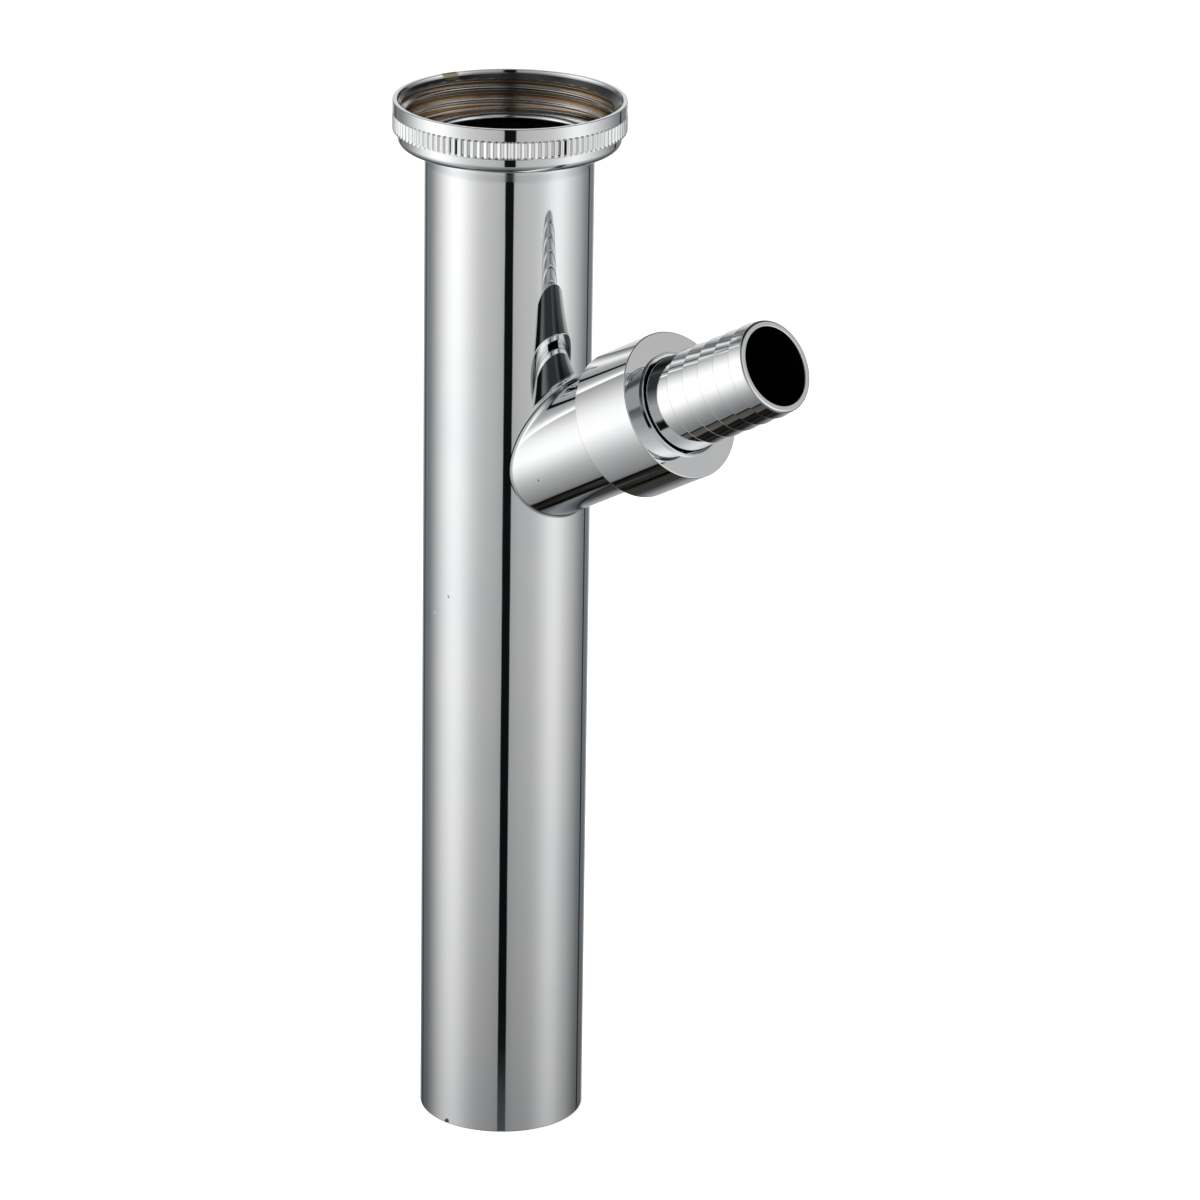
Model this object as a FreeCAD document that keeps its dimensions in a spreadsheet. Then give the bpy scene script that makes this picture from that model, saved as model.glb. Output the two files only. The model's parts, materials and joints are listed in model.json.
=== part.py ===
"""Trap dip tube: a flanged tube with a knurled slip nut and a slanted branch that ends in a hose tail.

Frame: the origin is the centre of the tube's lower end, +Z runs up the tube, and the branch leans
out over +X. Lengths are millimetres and angles are degrees.
"""
import FreeCAD, Part

import math
import os

import Sketcher

# Driving dimensions: name, value and what it measures.
DIMENSIONS = (
    ("tube_radius", 16.0, "outside radius of the tube"),
    ("tube_wall", 1.0, "wall of the tube"),
    ("tube_length", 198.0, "lower end to the top of the flange"),
    ("tube_end_break", 0.2, "chamfer on the lower end"),
    ("flange_clearance", 0.5, "radial gap between the flange and the nut's land"),
    ("flange_thickness", 1.0, "thickness of the rolled flange"),
    ("flange_roll", 0.9, "radius from the bore into the flange"),
    ("flange_edge_round", 0.3, "rounding of the flange's rim"),
    ("nut_radius", 22.05, "outside radius over the plain band and the knurl"),
    ("nut_height", 9.45, "rim to underside"),
    ("nut_floor", 1.4, "underside to the seat of the flange"),
    ("nut_wall", 2.57, "wall from the crests of the internal thread to the outside"),
    ("nut_land_step", 0.58, "how far the land below the thread stands in from the crests"),
    ("nut_land_height", 1.1, "height of that land above the seat"),
    ("nut_rim_width", 0.85, "width of the flat rim round the mouth"),
    ("nut_mouth_wall", 1.15, "height of the steep wall inside the rim"),
    ("nut_mouth_draft", 0.1, "how far that wall leans in"),
    ("nut_mouth_slope", 0.6, "height of the cone from that wall down to the thread"),
    ("nut_running_gap", 0.1, "radial gap between the nut and the tube"),
    ("nut_seat_gap", 0.05, "gap between the nut's seat and the flange"),
    ("nut_rim_round", 0.15, "rounding of the outer rim"),
    ("nut_band_height", 2.27, "height of the plain band below the rim"),
    ("nut_foot_inset", 0.95, "how far the smooth band below the knurl stands in"),
    ("nut_foot_slope", 0.3, "height of the bevel between the knurl and the smooth band"),
    ("nut_cone_height", 0.85, "height of the coned underside"),
    ("nut_foot_round", 1.6, "rounding between the smooth band and the cone"),
    ("knurl_height", 3.43, "height of the knurled band"),
    ("knurl_depth", 0.34, "depth of the grooves between the ridges"),
    ("knurl_land", 0.12, "width of the flat crest of each ridge"),
    ("knurl_overrun", 0.2, "how far the groove cutter reaches beyond the ridges"),
    ("knurl_ridges", 108, "number of ridges round the nut"),
    ("branch_height", 130.7, "where the branch's axis meets the tube's axis"),
    ("branch_rise", 29.0, "angle of the branch above the horizontal"),
    ("stub_radius", 11.4, "outside radius of the branch stub"),
    ("stub_wall", 1.4, "wall of the branch stub"),
    ("boss_length", 6.4, "length of the stub's threaded boss"),
    ("boss_stand", 1.19, "how far the boss stands out of the stub"),
    ("ring_wall", 1.56, "wall of the union ring outside its thread"),
    ("ring_length", 13.5, "length of the union ring"),
    ("ring_face", 48.7, "tube axis to the ring's front face, along the branch"),
    ("ring_lip", 2.0, "thickness of the ring's lip"),
    ("ring_collar_wall", 0.3, "wall of the thin collar round the ring's mouth"),
    ("ring_collar_stand", 1.1, "how far that collar stands out of the ring's face"),
    ("ring_thread_gap", 0.05, "radial gap between the ring's thread and the boss's"),
    ("ring_edge_break", 0.25, "chamfer on the ring's outer edges"),
    ("washer_thickness", 1.8, "thickness of the seal"),
    ("washer_rim_gap", 0.44, "radial gap between the seal and the ring's thread"),
    ("washer_bore_gap", 0.85, "how far the seal's bore stands back from the tail's bore"),
    ("tail_bore_radius", 7.55, "bore radius of the hose tail"),
    ("tail_wall", 1.15, "wall of the tail at the foot of each barb"),
    ("tail_flange_thickness", 2.0, "thickness of the flange behind the ring's lip"),
    ("tail_flange_gap", 0.54, "radial gap between that flange and the ring's thread"),
    ("tail_shoulder_step", 0.65, "how far the shoulder stands out of the neck"),
    ("tail_shoulder_gap", 0.6, "radial gap between the shoulder and the ring's mouth"),
    ("tail_shoulder_stand", 1.1, "how far the shoulder stands out of the ring's face"),
    ("tail_shoulder_round", 0.2, "rounding of the shoulder"),
    ("tail_shoulder_cone", 0.75, "length of the cone from the shoulder down to the neck"),
    ("tail_neck_length", 4.78, "front of the shoulder to the first barb"),
    ("tail_neck_fillet", 0.5, "fillet between that cone and the neck"),
    ("barb_stand", 0.45, "how far each barb stands out of the neck"),
    ("barb_pitch", 4.08, "distance from barb to barb"),
    ("barb_count", 5, "number of barbs"),
    ("tip_land", 3.4, "distance from the last barb to the tip"),
    ("tip_round", 0.5, "rounding of the tip's outer edge"),
    ("tip_bore_break", 0.2, "rounding of the bore at the tip"),
)
SHEET = "sizes"
FULL_TURN = 360.0
SQUARE = 90.0


class Size:
    """A dimension that carries both its value and the sheet formula that gives it."""

    def __init__(self, value, formula):
        self.value = float(value)
        self.formula = formula

    def joined(self, sign, other, value):
        """Return the size that the two sizes make with the given sign."""
        return Size(value, f"({self.formula} {sign} {sized(other).formula})")

    def __add__(self, other):
        return self.joined("+", other, self.value + sized(other).value)

    def __sub__(self, other):
        return self.joined("-", other, self.value - sized(other).value)

    def __mul__(self, other):
        return self.joined("*", other, self.value * sized(other).value)

    def __truediv__(self, other):
        return self.joined("/", other, self.value / sized(other).value)

    def __rsub__(self, other):
        return sized(other) - self

    def __rtruediv__(self, other):
        return sized(other) / self

    __radd__ = __add__
    __rmul__ = __mul__


def sized(number):
    """Return a size for a plain number, or the size itself."""
    return number if isinstance(number, Size) else Size(number, repr(float(number)))


def smaller(first, second):
    """Return the smaller of two sizes."""
    return Size(min(first.value, second.value), f"min({first.formula}; {second.formula})")


class Dimensions:
    """The dimensions in the sheet, one attribute each, and what follows from them."""

    def __init__(self, doc):
        sheet = doc.addObject("Spreadsheet::Sheet", SHEET)
        for row, (name, value, note) in enumerate(DIMENSIONS, start=1):
            sheet.set(f"A{row}", name)
            sheet.set(f"B{row}", str(value))
            sheet.set(f"C{row}", note)
            sheet.setAlias(f"B{row}", name)
            setattr(self, name, Size(value, f"{SHEET}.{name}"))
        doc.recompute()
        self.follow_the_tube()
        self.follow_the_branch()

    def follow_the_tube(self):
        """Work out the tube's bore and flange and the nut that turns under the flange."""
        self.nut_thread_radius = self.nut_radius - self.nut_wall
        self.nut_land_radius = self.nut_thread_radius - self.nut_land_step
        self.nut_mouth_radius = self.nut_radius - self.nut_rim_width
        self.nut_foot_radius = self.nut_radius - self.nut_foot_inset
        self.nut_eye_radius = self.tube_radius + self.nut_running_gap
        self.knurl_root = self.nut_radius - self.knurl_depth
        self.bore_radius = self.tube_radius - self.tube_wall
        self.flange_radius = self.nut_land_radius - self.flange_clearance
        self.flange_seat = self.tube_length - self.flange_thickness
        flange_width = self.flange_radius - self.bore_radius
        self.roll_radius = smaller(self.flange_roll, flange_width - 2 * self.flange_edge_round)
        self.nut_seat = self.flange_seat - self.nut_seat_gap
        self.nut_foot = self.nut_seat - self.nut_floor
        self.nut_rim = self.nut_foot + self.nut_height

    def follow_the_branch(self):
        """Work out the stub, the ring screwed on its boss and the tail that the ring traps."""
        self.stub_bore_radius = self.stub_radius - self.stub_wall
        self.boss_radius = self.stub_radius + self.boss_stand
        self.ring_thread_radius = self.boss_radius + self.ring_thread_gap
        self.ring_radius = self.ring_thread_radius + self.ring_wall
        self.ring_back = self.ring_face - self.ring_length
        self.lip_seat = self.ring_face - self.ring_lip
        self.tail_back = self.lip_seat - self.tail_flange_thickness
        self.tail_flange_radius = self.ring_thread_radius - self.tail_flange_gap
        self.tail_neck_radius = self.tail_bore_radius + self.tail_wall
        self.barb_radius = self.tail_neck_radius + self.barb_stand
        self.shoulder_radius = self.tail_neck_radius + self.tail_shoulder_step
        self.ring_mouth_radius = self.shoulder_radius + self.tail_shoulder_gap
        self.collar_radius = self.ring_mouth_radius + self.ring_collar_wall
        self.collar_front = self.ring_face + self.ring_collar_stand
        self.shoulder_front = self.ring_face + self.tail_shoulder_stand
        self.cone_front = self.shoulder_front + self.tail_shoulder_cone
        self.first_barb = self.shoulder_front + self.tail_neck_length
        self.last_barb = self.first_barb + self.barb_pitch * (self.barb_count - 1)
        self.tail_reach = self.last_barb + self.tip_land
        self.tip_radius = self.barb_radius - self.barb_stand * self.tip_land / self.barb_pitch
        self.stub_end = self.tail_back - self.washer_thickness
        self.washer_radius = self.ring_thread_radius - self.washer_rim_gap
        self.washer_bore_radius = self.tail_bore_radius + self.washer_bore_gap


def bind(item, path, size):
    """Tie one property of an object to the sheet."""
    item.setExpression(path, sized(size).formula)


def origin_plane(body, role):
    """Return one of the body's own origin planes."""
    return next(plane for plane in body.Origin.OriginFeatures if plane.Role == role)


def new_sketch(body, name, role="XZ_Plane"):
    """Return an empty sketch flat on one of the body's origin planes."""
    sketch = body.newObject("Sketcher::SketchObject", name)
    sketch.AttachmentSupport = [(origin_plane(body, role), "")]
    sketch.MapMode = "FlatFace"
    return sketch


def hold(sketch, kind, *place, size):
    """Add a constraint whose value comes from the sheet."""
    index = sketch.addConstraint(Sketcher.Constraint(kind, *place, size.value))
    bind(sketch, f"Constraints[{index}]", size)


def draw_outline(sketch, corners):
    """Draw a closed outline of straight lines, each corner held by its two distances."""
    places = [(sized(across), sized(up)) for across, up in corners]
    points = [FreeCAD.Vector(across.value, up.value, 0) for across, up in places]
    count = len(points)
    lines = [Part.LineSegment(points[i], points[(i + 1) % count]) for i in range(count)]
    sketch.addGeometry(lines, False)
    for line, (across, up) in enumerate(places):
        sketch.addConstraint(Sketcher.Constraint("Coincident", line - 1 if line else count - 1, 2, line, 1))
        hold(sketch, "DistanceX", -1, 1, line, 1, size=across)
        hold(sketch, "DistanceY", -1, 1, line, 1, size=up)


def draw_circle(sketch, radius, across=None):
    """Draw a circle about the origin, or about a point across from it."""
    centre = sized(across or 0)
    circle = Part.Circle(FreeCAD.Vector(centre.value, 0, 0), FreeCAD.Vector(0, 0, 1), radius.value)
    index = sketch.addGeometry(circle, False)
    hold(sketch, "Radius", index, size=radius)
    if across is None:
        sketch.addConstraint(Sketcher.Constraint("Coincident", index, 3, -1, 1))
    else:
        sketch.addConstraint(Sketcher.Constraint("PointOnObject", index, 3, -1))
        hold(sketch, "DistanceX", -1, 1, index, 3, size=centre)


def turned(body, name, corners):
    """Turn a closed outline of (radius, height) corners about the body's Z axis."""
    sketch = new_sketch(body, f"{name}_section")
    draw_outline(sketch, corners)
    solid = body.newObject("PartDesign::Revolution", name)
    solid.Profile = sketch
    solid.ReferenceAxis = (sketch, ["V_Axis"])
    solid.Angle = FULL_TURN
    sketch.Visibility = False
    body.Document.recompute()
    return solid


def ring_edges(feature, radius, height):
    """Name the circular edges of a turned feature that have this radius at this height."""
    names = []
    for index, edge in enumerate(feature.Shape.Edges, start=1):
        curve = edge.Curve
        round_edge = isinstance(curve, Part.Circle)
        if round_edge and math.hypot(curve.Radius - radius.value, curve.Center.z - height.value) < 1e-4:
            names.append(f"Edge{index}")
    return names


def dress_edge(body, base, kind, name, size, radius, height):
    """Round or chamfer the circular edge that lies at this radius and height."""
    feature = body.newObject(f"PartDesign::{kind}", name)
    feature.Base = (base, ring_edges(base, sized(radius), sized(height)))
    bind(feature, "Radius" if kind == "Fillet" else "Size", size)
    base.Visibility = False
    body.Document.recompute()
    return feature


def lean_on_branch(item, dims):
    """Stand an object's own Z axis on the axis of the branch."""
    item.Placement = FreeCAD.Placement(FreeCAD.Vector(0, 0, 0), FreeCAD.Rotation(FreeCAD.Vector(0, 1, 0), 1))
    bind(item, "Placement.Base.z", dims.branch_height)
    bind(item, "Placement.Rotation.Angle", SQUARE - dims.branch_rise)


def cylinder(doc, name, radius, height):
    """Return a plain cylinder that serves as a cutter."""
    tool = doc.addObject("Part::Cylinder", name)
    bind(tool, "Radius", radius)
    bind(tool, "Height", height)
    tool.Visibility = False
    return tool


def cut(doc, name, base, tool):
    """Return the base with the tool's form taken out of it."""
    result = doc.addObject("Part::Cut", name)
    result.Base = base
    result.Tool = tool
    return result


def make_dip_tube(doc, dims):
    """Drawn tube, rolled out into a flange above, with the side port drilled along the branch."""
    body = doc.addObject("PartDesign::Body", "tube_blank")
    blank = turned(body, "tube_wall_and_flange", (
        (dims.bore_radius, 0),
        (dims.tube_radius, 0),
        (dims.tube_radius, dims.flange_seat),
        (dims.flange_radius, dims.flange_seat),
        (dims.flange_radius, dims.tube_length),
        (dims.bore_radius, dims.tube_length),
    ))
    rolled = dress_edge(body, blank, "Fillet", "flange_roll",
                        dims.roll_radius, dims.bore_radius, dims.tube_length)
    rimmed = dress_edge(body, rolled, "Fillet", "flange_rim",
                        dims.flange_edge_round, dims.flange_radius, dims.tube_length)
    dress_edge(body, rimmed, "Chamfer", "lower_end", dims.tube_end_break, dims.tube_radius, 0)
    drill = cylinder(doc, "port_drill", dims.stub_bore_radius, dims.ring_back)
    lean_on_branch(drill, dims)
    return cut(doc, "dip_tube", body, drill)


def make_slip_nut(doc, dims):
    """Union nut: plain band, knurled band, smooth foot, coned underside and a chamfered mouth."""
    body = doc.addObject("PartDesign::Body", "slip_nut")
    rim = dims.nut_rim
    knurl_foot = rim - dims.nut_band_height - dims.knurl_height
    foot_corner = dims.nut_foot + dims.nut_cone_height
    thread_foot = dims.nut_seat + dims.nut_land_height
    blank = turned(body, "nut_blank", (
        (dims.nut_mouth_radius, rim),
        (dims.nut_radius, rim),
        (dims.nut_radius, knurl_foot),
        (dims.nut_foot_radius, knurl_foot - dims.nut_foot_slope),
        (dims.nut_foot_radius, foot_corner),
        (dims.nut_eye_radius, dims.nut_foot),
        (dims.nut_eye_radius, dims.nut_seat),
        (dims.nut_land_radius, dims.nut_seat),
        (dims.nut_land_radius, thread_foot),
        (dims.nut_thread_radius, thread_foot),
        (dims.nut_thread_radius, rim - dims.nut_mouth_wall - dims.nut_mouth_slope),
        (dims.nut_mouth_radius - dims.nut_mouth_draft, rim - dims.nut_mouth_wall),
    ))
    rounded = dress_edge(body, blank, "Fillet", "nut_foot",
                         dims.nut_foot_round, dims.nut_foot_radius, foot_corner)
    dress_edge(body, rounded, "Fillet", "nut_rim_edge", dims.nut_rim_round, dims.nut_radius, rim)
    add_knurl(body, dims, knurl_foot)
    return body


def add_knurl(body, dims, knurl_foot):
    """Cut the grooves of the knurl, each between two narrow ridges."""
    half_pitch = dims.nut_radius * math.pi / dims.knurl_ridges
    flare = (half_pitch - dims.knurl_land / 2) / dims.knurl_depth
    reach = dims.nut_radius + dims.knurl_overrun
    half_width = (dims.knurl_depth + dims.knurl_overrun) * flare
    section = new_sketch(body, "groove_section", "XY_Plane")
    bind(section, "AttachmentOffset.Base.z", knurl_foot)
    draw_outline(section, (
        (dims.knurl_root, 0),
        (reach, 0 - half_width),
        (reach, half_width),
    ))
    groove = body.newObject("PartDesign::Pocket", "knurl_groove")
    groove.Profile = section
    groove.Reversed = True
    bind(groove, "Length", dims.knurl_height)
    knurl = body.newObject("PartDesign::PolarPattern", "knurl")
    knurl.Originals = [groove]
    knurl.Axis = (section, ["N_Axis"])
    knurl.Angle = FULL_TURN
    bind(knurl, "Occurrences", dims.knurl_ridges)
    body.Tip = knurl
    section.Visibility = False


def make_branch_stub(doc, dims):
    """Stub with a boss for the union ring, its foot cut to saddle the tube."""
    body = doc.addObject("PartDesign::Body", "stub_blank")
    boss_foot = dims.stub_end - dims.boss_length
    turned(body, "stub_wall_and_boss", (
        (dims.stub_bore_radius, 0),
        (dims.stub_radius, 0),
        (dims.stub_radius, boss_foot),
        (dims.boss_radius, boss_foot),
        (dims.boss_radius, dims.stub_end),
        (dims.stub_bore_radius, dims.stub_end),
    ))
    lean_on_branch(body, dims)
    saddle = cylinder(doc, "saddle_cutter", dims.tube_radius, dims.tube_length)
    return cut(doc, "branch_stub", body, saddle)


def make_union_ring(doc, dims):
    """Smooth coupling ring: threaded behind, with a collared lip in front that traps the hose tail."""
    body = doc.addObject("PartDesign::Body", "union_ring")
    blank = turned(body, "ring_blank", (
        (dims.ring_mouth_radius, dims.collar_front),
        (dims.collar_radius, dims.collar_front),
        (dims.collar_radius, dims.ring_face),
        (dims.ring_radius, dims.ring_face),
        (dims.ring_radius, dims.ring_back),
        (dims.ring_thread_radius, dims.ring_back),
        (dims.ring_thread_radius, dims.lip_seat),
        (dims.ring_mouth_radius, dims.lip_seat),
    ))
    front = dress_edge(body, blank, "Chamfer", "ring_front_edge",
                       dims.ring_edge_break, dims.ring_radius, dims.ring_face)
    dress_edge(body, front, "Chamfer", "ring_back_edge",
               dims.ring_edge_break, dims.ring_radius, dims.ring_back)
    lean_on_branch(body, dims)
    return body


def make_tail_washer(doc, dims):
    """Flat seal between the stub's end and the hose tail's flange."""
    body = doc.addObject("PartDesign::Body", "tail_washer")
    section = new_sketch(body, "washer_section", "XY_Plane")
    bind(section, "AttachmentOffset.Base.z", dims.stub_end)
    draw_circle(section, dims.washer_radius)
    draw_circle(section, dims.washer_bore_radius)
    disc = body.newObject("PartDesign::Pad", "washer_disc")
    disc.Profile = section
    bind(disc, "Length", dims.washer_thickness)
    section.Visibility = False
    lean_on_branch(body, dims)
    return body


def barb_corners(dims):
    """Corners of the barbs from the neck to the tip: each one steps up, then tapers to the next."""
    corners = []
    for barb in range(int(dims.barb_count.value)):
        place = dims.first_barb + dims.barb_pitch * barb
        corners.append((dims.tail_neck_radius, place))
        corners.append((dims.barb_radius, place))
    corners.append((dims.tip_radius, dims.tail_reach))
    return corners


def make_hose_tail(doc, dims):
    """Turned hose tail: flange, shoulder in the ring's mouth, cone, neck and barbs."""
    body = doc.addObject("PartDesign::Body", "hose_tail")
    blank = turned(body, "tail_blank", (
        (dims.tail_bore_radius, dims.tail_back),
        (dims.tail_flange_radius, dims.tail_back),
        (dims.tail_flange_radius, dims.lip_seat),
        (dims.shoulder_radius, dims.lip_seat),
        (dims.shoulder_radius, dims.shoulder_front),
        (dims.tail_neck_radius, dims.cone_front),
        *barb_corners(dims),
        (dims.tail_bore_radius, dims.tail_reach),
    ))
    shouldered = dress_edge(body, blank, "Fillet", "shoulder_edge",
                            dims.tail_shoulder_round, dims.shoulder_radius, dims.shoulder_front)
    necked = dress_edge(body, shouldered, "Fillet", "neck_fillet",
                        dims.tail_neck_fillet, dims.tail_neck_radius, dims.cone_front)
    tipped = dress_edge(body, necked, "Fillet", "tip_edge",
                        dims.tip_round, dims.tip_radius, dims.tail_reach)
    dress_edge(body, tipped, "Fillet", "tip_bore_edge",
               dims.tip_bore_break, dims.tail_bore_radius, dims.tail_reach)
    lean_on_branch(body, dims)
    return body


def check(doc, pieces):
    """Stop if anything in the document failed, or if a piece is not one sound solid."""
    for item in doc.Objects:
        if {"Invalid", "Error"} & set(item.State):
            raise RuntimeError(f"{item.Name} failed: {item.State}")
    for piece in pieces:
        shape = piece.Shape
        if shape.isNull() or not shape.isValid() or len(shape.Solids) != 1:
            raise RuntimeError(f"{piece.Name} is not one sound solid")


def main():
    """Build the document and write one file for each piece."""
    doc = FreeCAD.newDocument("trap_dip_tube")
    dims = Dimensions(doc)
    makers = (
        make_dip_tube,
        make_slip_nut,
        make_branch_stub,
        make_union_ring,
        make_tail_washer,
        make_hose_tail,
    )
    pieces = [maker(doc, dims) for maker in makers]
    doc.recompute()
    check(doc, pieces)
    os.makedirs("parts", exist_ok=True)
    for piece in pieces:
        piece.Shape.exportStep(f"parts/{piece.Label}.step")


main()
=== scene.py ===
"""Looks of a chromed trap dip tube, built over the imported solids.

The tube stands on the origin along +Z and its branch leans out over +X. Lengths are metres, written
as millimetres times MM, and angles are degrees until they reach a sine or a node.
"""

import json
import logging
import math
from dataclasses import dataclass, replace
from enum import Enum
from typing import Any, Mapping, Sequence

import bpy
from mathutils import Matrix, Vector


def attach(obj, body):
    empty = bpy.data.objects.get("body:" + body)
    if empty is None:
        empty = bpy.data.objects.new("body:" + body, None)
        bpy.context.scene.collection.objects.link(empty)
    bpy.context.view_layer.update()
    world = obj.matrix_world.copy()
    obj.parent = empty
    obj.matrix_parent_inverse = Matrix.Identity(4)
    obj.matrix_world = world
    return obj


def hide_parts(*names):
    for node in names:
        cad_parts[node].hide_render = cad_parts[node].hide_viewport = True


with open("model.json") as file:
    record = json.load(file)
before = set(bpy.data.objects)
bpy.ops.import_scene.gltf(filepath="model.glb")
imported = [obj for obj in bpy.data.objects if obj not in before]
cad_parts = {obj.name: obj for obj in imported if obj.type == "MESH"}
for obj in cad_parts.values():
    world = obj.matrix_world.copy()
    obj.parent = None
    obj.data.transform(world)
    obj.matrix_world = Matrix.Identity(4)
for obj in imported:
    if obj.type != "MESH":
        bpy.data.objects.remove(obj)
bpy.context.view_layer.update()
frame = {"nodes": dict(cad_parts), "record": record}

log = logging.getLogger("dip_tube")

MM = 0.001
MICRON = 1e-6
UP = (0.0, 0.0, 1.0)
OUTSIDE, INSIDE = 0, 1
Colour = tuple[float, float, float, float]
Pair = tuple[float, float]
# A point of a surface and the way that the surface faces there.
Facet = tuple[Vector, Vector]


class Body(Enum):
    """The two bodies of the frame that pieces ride on."""

    TUBE = "tube"
    NUT = "nut"


class Slot(Enum):
    """The record's material slots that pieces take their finish from."""

    TUBE = "tube_chrome"
    NUT = "nut_chrome"
    RING = "ring_chrome"
    TAIL = "tail_chrome"


# Node trees


class Flow:
    """A socket that takes part in Python expressions, each of which adds a Math node."""

    def __init__(self, graph: "Graph", socket: bpy.types.NodeSocket) -> None:
        """Wrap an output socket of a graph's tree."""
        self.graph = graph
        self.socket = socket

    def maths(self, operation: str, *others: "Flow | float") -> "Flow":
        """Return this socket put through a Math node.

        Args:
            operation: The node's operation.
            others: What goes into its second and third sockets.

        Returns:
            The node's result.
        """
        values = dict(enumerate((self, *others)))
        return self.graph.flow("ShaderNodeMath", {"operation": operation}, values)

    def __add__(self, other: "Flow | float") -> "Flow":
        """Add."""
        return self.maths("ADD", other)

    def __sub__(self, other: "Flow | float") -> "Flow":
        """Subtract."""
        return self.maths("SUBTRACT", other)

    def __rsub__(self, other: float) -> "Flow":
        """Subtract from a number."""
        return self.graph.flow("ShaderNodeMath", {"operation": "SUBTRACT"}, {0: other, 1: self})

    def __mul__(self, other: "Flow | float") -> "Flow":
        """Multiply."""
        return self.maths("MULTIPLY", other)

    def __truediv__(self, other: "Flow | float") -> "Flow":
        """Divide."""
        return self.maths("DIVIDE", other)

    def __neg__(self) -> "Flow":
        """Turn the sign."""
        return self * -1.0

    __radd__ = __add__
    __rmul__ = __mul__

    def at_least(self, low: "Flow | float") -> "Flow":
        """Return the larger of the two."""
        return self.maths("MAXIMUM", low)

    def at_most(self, high: "Flow | float") -> "Flow":
        """Return the smaller of the two."""
        return self.maths("MINIMUM", high)

    def size(self) -> "Flow":
        """Return the value without its sign."""
        return self.maths("ABSOLUTE")

    def bell(self) -> "Flow":
        """Return a bell curve: 1 where the value is 0, about a third where it is 1 or -1."""
        return (-(self * self)).maths("EXPONENT")

    def rise(self, low: float, high: float) -> "Flow":
        """Return a smooth step.

        Args:
            low: Where the step begins, at 0.
            high: Where it ends, at 1. It may lie below low for a step down.

        Returns:
            A value from 0 to 1.
        """
        if low > high:
            return 1.0 - self.rise(high, low)
        values = {"Value": self, "From Min": low, "From Max": high}
        return self.graph.flow("ShaderNodeMapRange", {"interpolation_type": "SMOOTHSTEP"}, values)


class Graph:
    """Builds the nodes of one tree."""

    def __init__(self, tree: bpy.types.NodeTree) -> None:
        """Take the tree that nodes are added to."""
        self.tree = tree

    def node(
        self,
        kind: str,
        settings: Mapping[str, Any] | None = None,
        values: Mapping[Any, Any] | None = None,
    ) -> bpy.types.Node:
        """Add any node.

        Args:
            kind: The node's type.
            settings: Its properties, set first. "stops" holds a ramp's (place, colour) pairs.
            values: A value or a Flow for each of its inputs, by name or by number.

        Returns:
            The node.
        """
        node = self.tree.nodes.new(kind)
        for name, value in (settings or {}).items():
            if name == "stops":
                self.set_stops(node, value)
            else:
                setattr(node, name, value)
        for key, value in (values or {}).items():
            if isinstance(value, Flow):
                self.tree.links.new(value.socket, node.inputs[key])
            else:
                node.inputs[key].default_value = value
        return node

    @staticmethod
    def set_stops(node: bpy.types.Node, stops: Sequence[tuple[float, Colour]]) -> None:
        """Give a colour ramp its stops.

        Args:
            node: The ramp.
            stops: Place and colour of each stop, in order.
        """
        elements = node.color_ramp.elements
        while len(elements) < len(stops):
            elements.new(0.5)
        for element, (place, colour) in zip(elements, stops):
            element.position = place
            element.color = colour

    def flow(
        self,
        kind: str,
        settings: Mapping[str, Any] | None = None,
        values: Mapping[Any, Any] | None = None,
        output: int | str = 0,
    ) -> Flow:
        """Add a node and return one of its outputs as a Flow."""
        return Flow(self, self.node(kind, settings, values).outputs[output])

    def dot(self, vector: Flow, axis: Vector | Sequence[float]) -> Flow:
        """Return how far a vector reaches along a fixed axis."""
        values = {0: vector, 1: tuple(axis)}
        return self.flow("ShaderNodeVectorMath", {"operation": "DOT_PRODUCT"}, values, "Value")

    def distance(self, vector: Flow, place: Vector | Sequence[float]) -> Flow:
        """Return the distance from a fixed place."""
        values = {0: vector, 1: tuple(place)}
        return self.flow("ShaderNodeVectorMath", {"operation": "DISTANCE"}, values, "Value")

    def stretched(self, vector: Flow, scale: Sequence[float]) -> Flow:
        """Return a vector multiplied axis by axis."""
        values = {0: vector, 1: tuple(scale)}
        return self.flow("ShaderNodeVectorMath", {"operation": "MULTIPLY"}, values)

    def from_axis(self, place: Flow) -> Flow:
        """Return how far a place is from the Z axis."""
        return self.distance(self.stretched(place, (1.0, 1.0, 0.0)), (0.0, 0.0, 0.0))

    def bundle(self, x: Flow | float, y: Flow | float, z: Flow | float) -> Flow:
        """Return the vector of three values."""
        return self.flow("ShaderNodeCombineXYZ", None, {0: x, 1: y, 2: z})

    def noise(self, vector: Flow, scale: float, detail: float = 3.0, rough: float = 0.5) -> Flow:
        """Return smooth noise from 0 to 1 over a vector."""
        values = {"Vector": vector, "Scale": scale, "Detail": detail, "Roughness": rough}
        return self.flow("ShaderNodeTexNoise", None, values)

    def blend(self, share: Flow, first: Flow | Colour, second: Flow | Colour) -> Flow:
        """Return the mix of two colours."""
        values = {0: share, 6: first, 7: second}
        return self.flow("ShaderNodeMix", {"data_type": "RGBA"}, values, 2)

    def bump(self, height: Flow, distance: float = 1.0) -> Flow:
        """Return the normal of a surface that a height bends."""
        return self.flow("ShaderNodeBump", None, {"Height": height, "Distance": distance})

    def end(self, shader: Flow, kind: str = "ShaderNodeOutputMaterial") -> None:
        """End the tree of a material or a world in its shader."""
        self.node(kind, None, {"Surface": shader})

    def end_surface(self, values: Mapping[str, Any]) -> None:
        """End the tree of a material in a Principled shader with these values and links."""
        self.end(self.flow("ShaderNodeBsdfPrincipled", None, values))


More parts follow.
